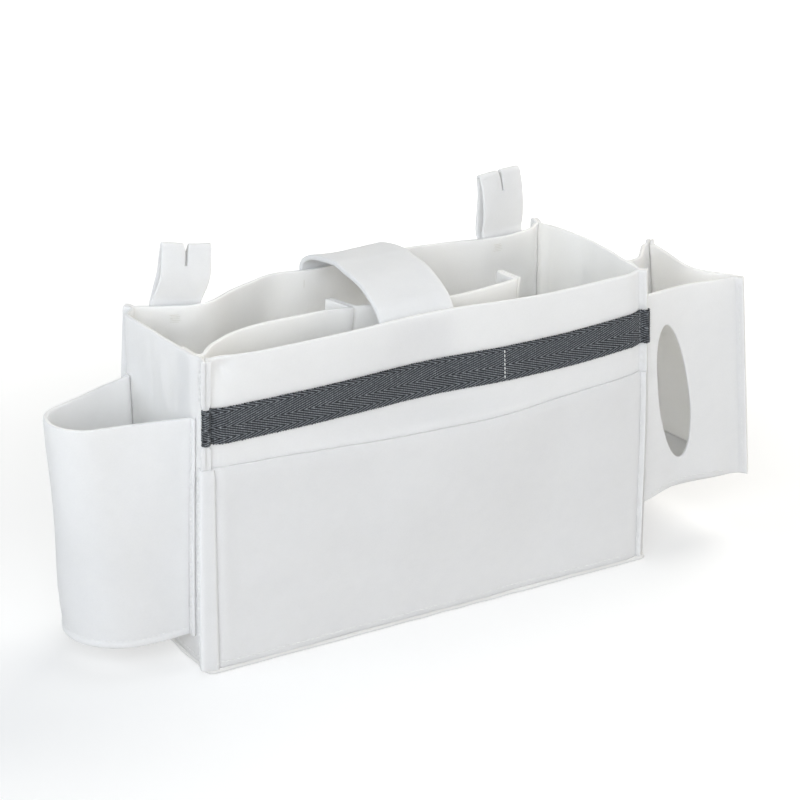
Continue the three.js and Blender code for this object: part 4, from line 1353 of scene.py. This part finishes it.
def loop_profile(top, bow):
    """The strip seen from its side: up the wall, up the front leg, over the fold and down the rear leg."""
    q = LOOP_THICK / 2 + GAP
    fold = top - LOOP_FOLD - LOOP_THICK / 2
    straight = HINGE + 9
    reach = (fold - HINGE) / 2
    pulls = [(q - 3, mix(fold, straight, 0.8)), (q - 6, mix(fold, straight, 0.4))]
    up = bezier((q, straight), *pulls, (q, fold), 24)
    angle = np.linspace(math.pi, 0, 14)[1:-1]
    over = np.stack([q + LOOP_FOLD * (1 + np.cos(angle)), fold + LOOP_FOLD * np.sin(angle)], 1)
    pulls = [(q + bow[0], fold - reach), (q + bow[1], HINGE + bow[2] * reach)]
    down = bezier((q + 2 * LOOP_FOLD, fold), *pulls, (q + 3.6, HINGE), 30)
    foot = [(q + 2.95, HINGE - 7), (q + 2.9, ANCHOR_LOW)]
    return even_line(np.concatenate([[(q, ANCHOR_LOW), (q, HINGE)], up, over, down, foot]), 400)


def slit_places(profile, at):
    """Where along the strip its slit begins and ends, and where the top of its fold is."""
    height = profile[:, 1]
    level = height.max() - SLIT_DEPTH
    high = at[np.argmax(height)]
    rising, falling = at < high, at > high
    start = np.interp(level, height[rising], at[rising])
    end = np.interp(level, height[falling][::-1], at[falling][::-1])
    return start, end, high


def loop_points(x, q, z, across, parting, tilt, lean, drift):
    """The strip's points: its sewn part follows the back wall, and its free part stands at a tilt."""
    crest = face_of(back_line(HEIGHT))
    edges = np.linspace(x - LOOP_WIDE / 2, x + LOOP_WIDE / 2, 9)
    stand = max(y_at(crest, e) - (e - x) * math.tan(tilt) for e in edges)
    origin = np.array([x, stand + FABRIC / 2 / math.cos(tilt)])
    levels = np.linspace(ANCHOR_LOW - 1, HEIGHT, 14)
    faces = [face_of(back_line(level)) for level in levels]
    wall_y = np.array([[y_at(face, x + a * math.cos(tilt)) for face in faces] for a in across])
    slope = np.gradient(wall_y, across, axis=0)
    rise = np.maximum(z - HINGE, 0)
    angle = lean * smooth(0, 9, rise)
    along_tilt = np.array([math.cos(tilt), math.sin(tilt)])
    points = np.empty((len(across), len(z), 3))
    for k, a in enumerate(across):
        grade = np.interp(z, levels, slope[k])
        normal = unit(np.stack([-grade, np.ones_like(grade)], 1))
        on_wall = np.stack([np.full_like(z, x + a * math.cos(tilt)), np.interp(z, levels, wall_y[k])], 1)
        sewn = on_wall + normal * (FABRIC / 2 + q)[:, None]
        local = (a + parting[k]) * np.cos(angle) + rise * np.sin(angle) + drift * smooth(0, 28, rise)
        free = origin + np.outer(local, along_tilt) + np.outer(q, left_of(along_tilt))
        points[k, :, :2] = mix(sewn, free, smooth(212, 221, z)[:, None])
        points[k, :, 2] = z + rise * (np.cos(angle) - 1) - a * np.sin(angle)
    return points


def loop_cloth(x, top, turn, lean, drift, slit, bow, seed):
    profile = loop_profile(top, bow)
    at = arc_length(profile)
    start, end, high = slit_places(profile, at)
    rims = [[start, end], start - RIM_STEPS[1:], end + RIM_STEPS[1:], high + np.arange(-7, 7.1, 0.8)]
    along = np.unique(np.round(np.concatenate([stations(at[-1], 2.2), *rims]), 3))
    half = stations(LOOP_WIDE / 2 - slit, 2.6)
    across = np.concatenate([half - LOOP_WIDE / 2, LOOP_WIDE / 2 - half[::-1]])
    u, v = np.meshgrid(along, across)
    q, z = line_at(profile, at, along).T
    parting = 0.9 * np.sign(v) * bell(u, high, 4.5) * np.exp(-(np.abs(v) - slit) / 5)
    points = loop_points(x, q, z, across, parting, math.radians(turn), math.radians(lean), drift)
    from_slit = np.hypot(np.maximum(np.abs(v) - slit, 0), np.maximum(np.maximum(start - u, u - end), 0))
    edge = both_rims(u, at[-1]) * rim_share(LOOP_WIDE / 2 - np.abs(v)) * rim_share(from_slit)
    middle_u, middle_v = (along[1:] + along[:-1]) / 2, (across[1:] + across[:-1]) / 2
    keep = ~np.outer(np.abs(middle_v) < slit, (middle_u > start) & (middle_u < end))
    cloth = Cloth(points, u, v, LOOP_THICK, edge, keep)
    cloth.push(smooth(30, 44, u) * smooth(30, 44, at[-1] - u) * ripples(seed, 22, 60, 0.3)(u, v))
    cloth.inside = (0, 0)
    return cloth


def add_loop(side, **shape):
    cloth = loop_cloth(**shape)
    nodes = [f"hanging_loop_{side}", f"loop_anchor_{side}"]
    piece = add_cloth(f"hanging_loop_{side}_strip", cloth, nodes, "folded", ["back_panel"], body=None)
    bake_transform(piece)
    return cloth


loop_left = add_loop("left", x=32 - HALF_LENGTH, top=266, turn=-16, lean=5.7, drift=5.0, slit=0.6,
                     bow=(14.0, 7.0, 0.8), seed=51)
loop_right = add_loop("right", x=HALF_LENGTH - 43, top=273, turn=0, lean=-3, drift=0.0, slit=0.45,
                      bow=(-0.5, 16.0, 0.25), seed=52)

# Thread
BASE_STITCH = 4.2  # from a wall's foot to the stitches above it
WEB_STITCH = {"length": 2.3, "pitch": 3.1, "slot": WEBBED}
BOX_SIDES = [((0, 1), (0, 0)), ((1, 1), (0, 1)), ((1, 0), (1, 1)), ((0, 0), (1, 0))]
BOX_CROSS = [((0, 1), (0, 1)), ((0, 1), (1, 0))]


def row(cloth, u, v, side=1):
    """A line over one face of a sheet, from one place on it to another."""
    count = max(int(math.hypot(u[1] - u[0], v[1] - v[0]) / 1.5), 3)
    return cloth.track(np.linspace(*u, count), np.linspace(*v, count), side)


def upright(cloth, at, low, high, side=1):
    """A row up a sheet, its place counted from the start or, if negative, from the end."""
    u = at if at > 0 else cloth.u[0, -1] + at
    return row(cloth, (u, u), (low, high), side)


def footing(cloth, inset, rise=BASE_STITCH, side=1):
    """A row along a sheet's foot."""
    u = np.linspace(inset, cloth.u[0, -1] - inset, int(cloth.u[0, -1] / 2))
    return cloth.track(u, np.interp(u, cloth.u[0], cloth.v[0]) + rise, side)


def boxed(cloth, u, v, side):
    """A crossed box of stitches."""
    return [row(cloth, [u[k] for k in a], [v[k] for k in b], side) for a, b in BOX_SIDES + BOX_CROSS]


def web_row(u):
    low = float(np.interp(u, web_base.u[0], web_base.v[0]))
    return row(web_base, (u, u), (low + WEB_HEM, low + WEB_WIDE - WEB_HEM))


strap_end = float(strap.u[0, -1])
seam_rows = [
    upright(front, STITCH, 152, 163), upright(front, STITCH, 194, 221),
    upright(front, -STITCH, 152, 167), upright(front, -STITCH, 198, 221),
    upright(pocket, STITCH, 8, 145), upright(pocket, -STITCH, 8, 145),
    upright(right, STITCH, 8, 167), upright(right, STITCH, 198, 221), upright(right, -STITCH, 8, 221),
    upright(back, STITCH, 8, 221), upright(back, -STITCH, 8, 221),
    upright(left, STITCH, 8, 221), upright(left, -STITCH, 8, 163), upright(left, -STITCH, 194, 221),
    footing(pocket, 14), footing(right, 12), footing(back, 12), footing(left, 12),
    upright(cup, 2.4, 27, 178, -1), upright(cup, -2.6, 27, 178, -1), footing(cup, 8, 5.4, -1),
    upright(tissue_front, -STITCH, 50, 199), upright(tissue_end, STITCH, 50, 199),
    upright(tissue_end, -STITCH, 50, 199), upright(tissue_back, STITCH, 50, 199),
    footing(tissue_front, 20), footing(tissue_end, 12), footing(tissue_back, 14),
    upright(divider_left, 6, 20, 216, -1), upright(divider_left, -20, 10, 218, -1),
    upright(divider_right, 20, 10, 218, -1),
    *boxed(strap, (4, 22), (8, 50), 1), *boxed(strap, (strap_end - 22, strap_end - 4), (8, 50), -1),
]
for loop in (loop_left, loop_right):
    seam_rows += [row(loop, (loop.u[0, -1] - before_end,) * 2, (-14, 14), -1) for before_end in (6, 13)]
add_thread("seam_stitches", seam_rows, THREAD_WHITE)

web_middle = float(np.interp(53.5, web_base.points[4, 30:-30, 0], web_base.u[0, 30:-30]))
add_thread("webbing_stitches", [web_row(web_middle)], THREAD_WHITE, radius=0.38, **WEB_STITCH)
web_ends = [web_row(u) for u in (13.6, web_base.u[0, -1] - 14.8)]
add_thread("webbing_end_stitches", web_ends, THREAD_GREY, **WEB_STITCH)

tacks = []
for u, z in back_tacks:
    for rise, shift in zip(np.arange(-2.8, 2.9, 1.4), (0.6, -0.5, 0.3, -0.2, 0.9)):
        tacks.append(row(back, (u - 4.5 + shift, u + 4.2 + shift), (z + rise, z + 0.9 * rise), -1))
strap_u = along_back(back, -35.0)
tacks.append(row(back, (strap_u, strap_u), (208, 222), -1))
add_thread("bartacks", tacks, THREAD_CREAM, length=7.6, pitch=8.4, radius=0.22)

# Stage, light and camera, in metres
FLOOR_HALF, FLOOR_BELOW = 9.0, 0.0004
NEAR_GLOW, FAR_GLOW = 0.3, 1.0  # the floor shines by itself, less so near the caddy
AIM = (0, 0, 0.1)
DOME = [(0.0, (0.41, 0.405, 0.39)), (0.5, (0.75, 0.752, 0.75)), (1.0, (0.1, 0.1, 0.1))]


def floor():
    n = Nodes("pale_floor")
    place = n.place()
    tone = n.ramp(n.noise(place, 3), [(0.3, (0.74, 0.74, 0.74)), (0.7, (0.77, 0.77, 0.77))])
    away = n.add("ShaderNodeVectorMath", {0: place}, operation="LENGTH").outputs["Value"]
    glow_range = {"Value": away, "From Min": 0.3, "From Max": 1.3, "To Min": NEAR_GLOW, "To Max": FAR_GLOW}
    glow = n.add("ShaderNodeMapRange", glow_range, interpolation_type="SMOOTHSTEP").outputs[0]
    material = n.set(Base_Color=tone, Roughness=0.9, Specular_IOR_Level=0.1, Emission_Color=(1, 1, 1, 1),
                     Emission_Strength=glow)
    data = bpy.data.meshes.new("floor")
    corners = [(x * FLOOR_HALF, y * FLOOR_HALF, 0) for x, y in ((-1, -1), (1, -1), (1, 1), (-1, 1))]
    data.from_pydata(corners, [], [(0, 1, 2, 3)])
    data.materials.append(material)
    piece = add_to_scene("floor", data)
    piece.location.z = -FLOOR_BELOW
    piece.visible_diffuse = False


def light(name, place, size, power, colour):
    data = bpy.data.lights.new(name, "AREA")
    data.shape, data.size, data.energy, data.color = "DISK", size, power, colour
    lamp = add_to_scene(name, data)
    lamp.location = place
    lamp.rotation_euler = (Vector(AIM) - Vector(place)).to_track_quat("-Z", "Y").to_euler()


def world(stops):
    """A soft studio dome: its brightness by height, from straight down to straight up."""
    scene_world = bpy.data.worlds.new("studio")
    scene_world.use_nodes = True
    tree = scene_world.node_tree
    kinds = ("ShaderNodeTexCoord", "ShaderNodeSeparateXYZ", "ShaderNodeMapRange", "ShaderNodeValToRGB")
    place, parts, height, ramp = (tree.nodes.new(kind) for kind in kinds)
    height.inputs["From Min"].default_value = -1.0
    set_stops(ramp.color_ramp, stops)
    tree.links.new(place.outputs["Generated"], parts.inputs[0])
    tree.links.new(parts.outputs[2], height.inputs["Value"])
    tree.links.new(height.outputs[0], ramp.inputs["Fac"])
    tree.links.new(ramp.outputs["Color"], tree.nodes["Background"].inputs["Color"])
    bpy.context.scene.world = scene_world


def camera(place, azimuth, elevation, lens):
    a, e = math.radians(azimuth), math.radians(elevation)
    back_way = Vector((math.sin(a) * math.cos(e), -math.cos(a) * math.cos(e), math.sin(e)))
    side = Vector((math.cos(a), math.sin(a), 0))
    data = bpy.data.cameras.new("photo_camera")
    data.lens, data.sensor_width, data.clip_end = lens, 36, 60
    view = add_to_scene("photo_camera", data)
    view.matrix_world = Matrix((side, back_way.cross(side), back_way)).transposed().to_4x4()
    view.location = place
    bpy.context.scene.camera = view


floor()
world(DOME)
light("key", (-1.5, -1.7, 1.4), 1.8, 22.5, (0.88, 0.94, 1.0))
light("front", (-0.8, -2.2, 1.0), 2.0, 18.5, (0.975, 0.987, 1.0))
light("side", (-2.2, 0.4, 1.0), 1.4, 11.5, (0.84, 0.92, 1.0))
light("right", (1.9, -1.5, 1.0), 1.4, 7, (1.0, 0.92, 0.79))
light("top", (1.6, 0.6, 1.8), 1.4, 25, (1.0, 0.97, 0.9))
camera((-0.8314, -1.4149, 0.7963), -30.7, 21.8, 112.7)
bpy.context.scene.view_settings.view_transform = "Standard"
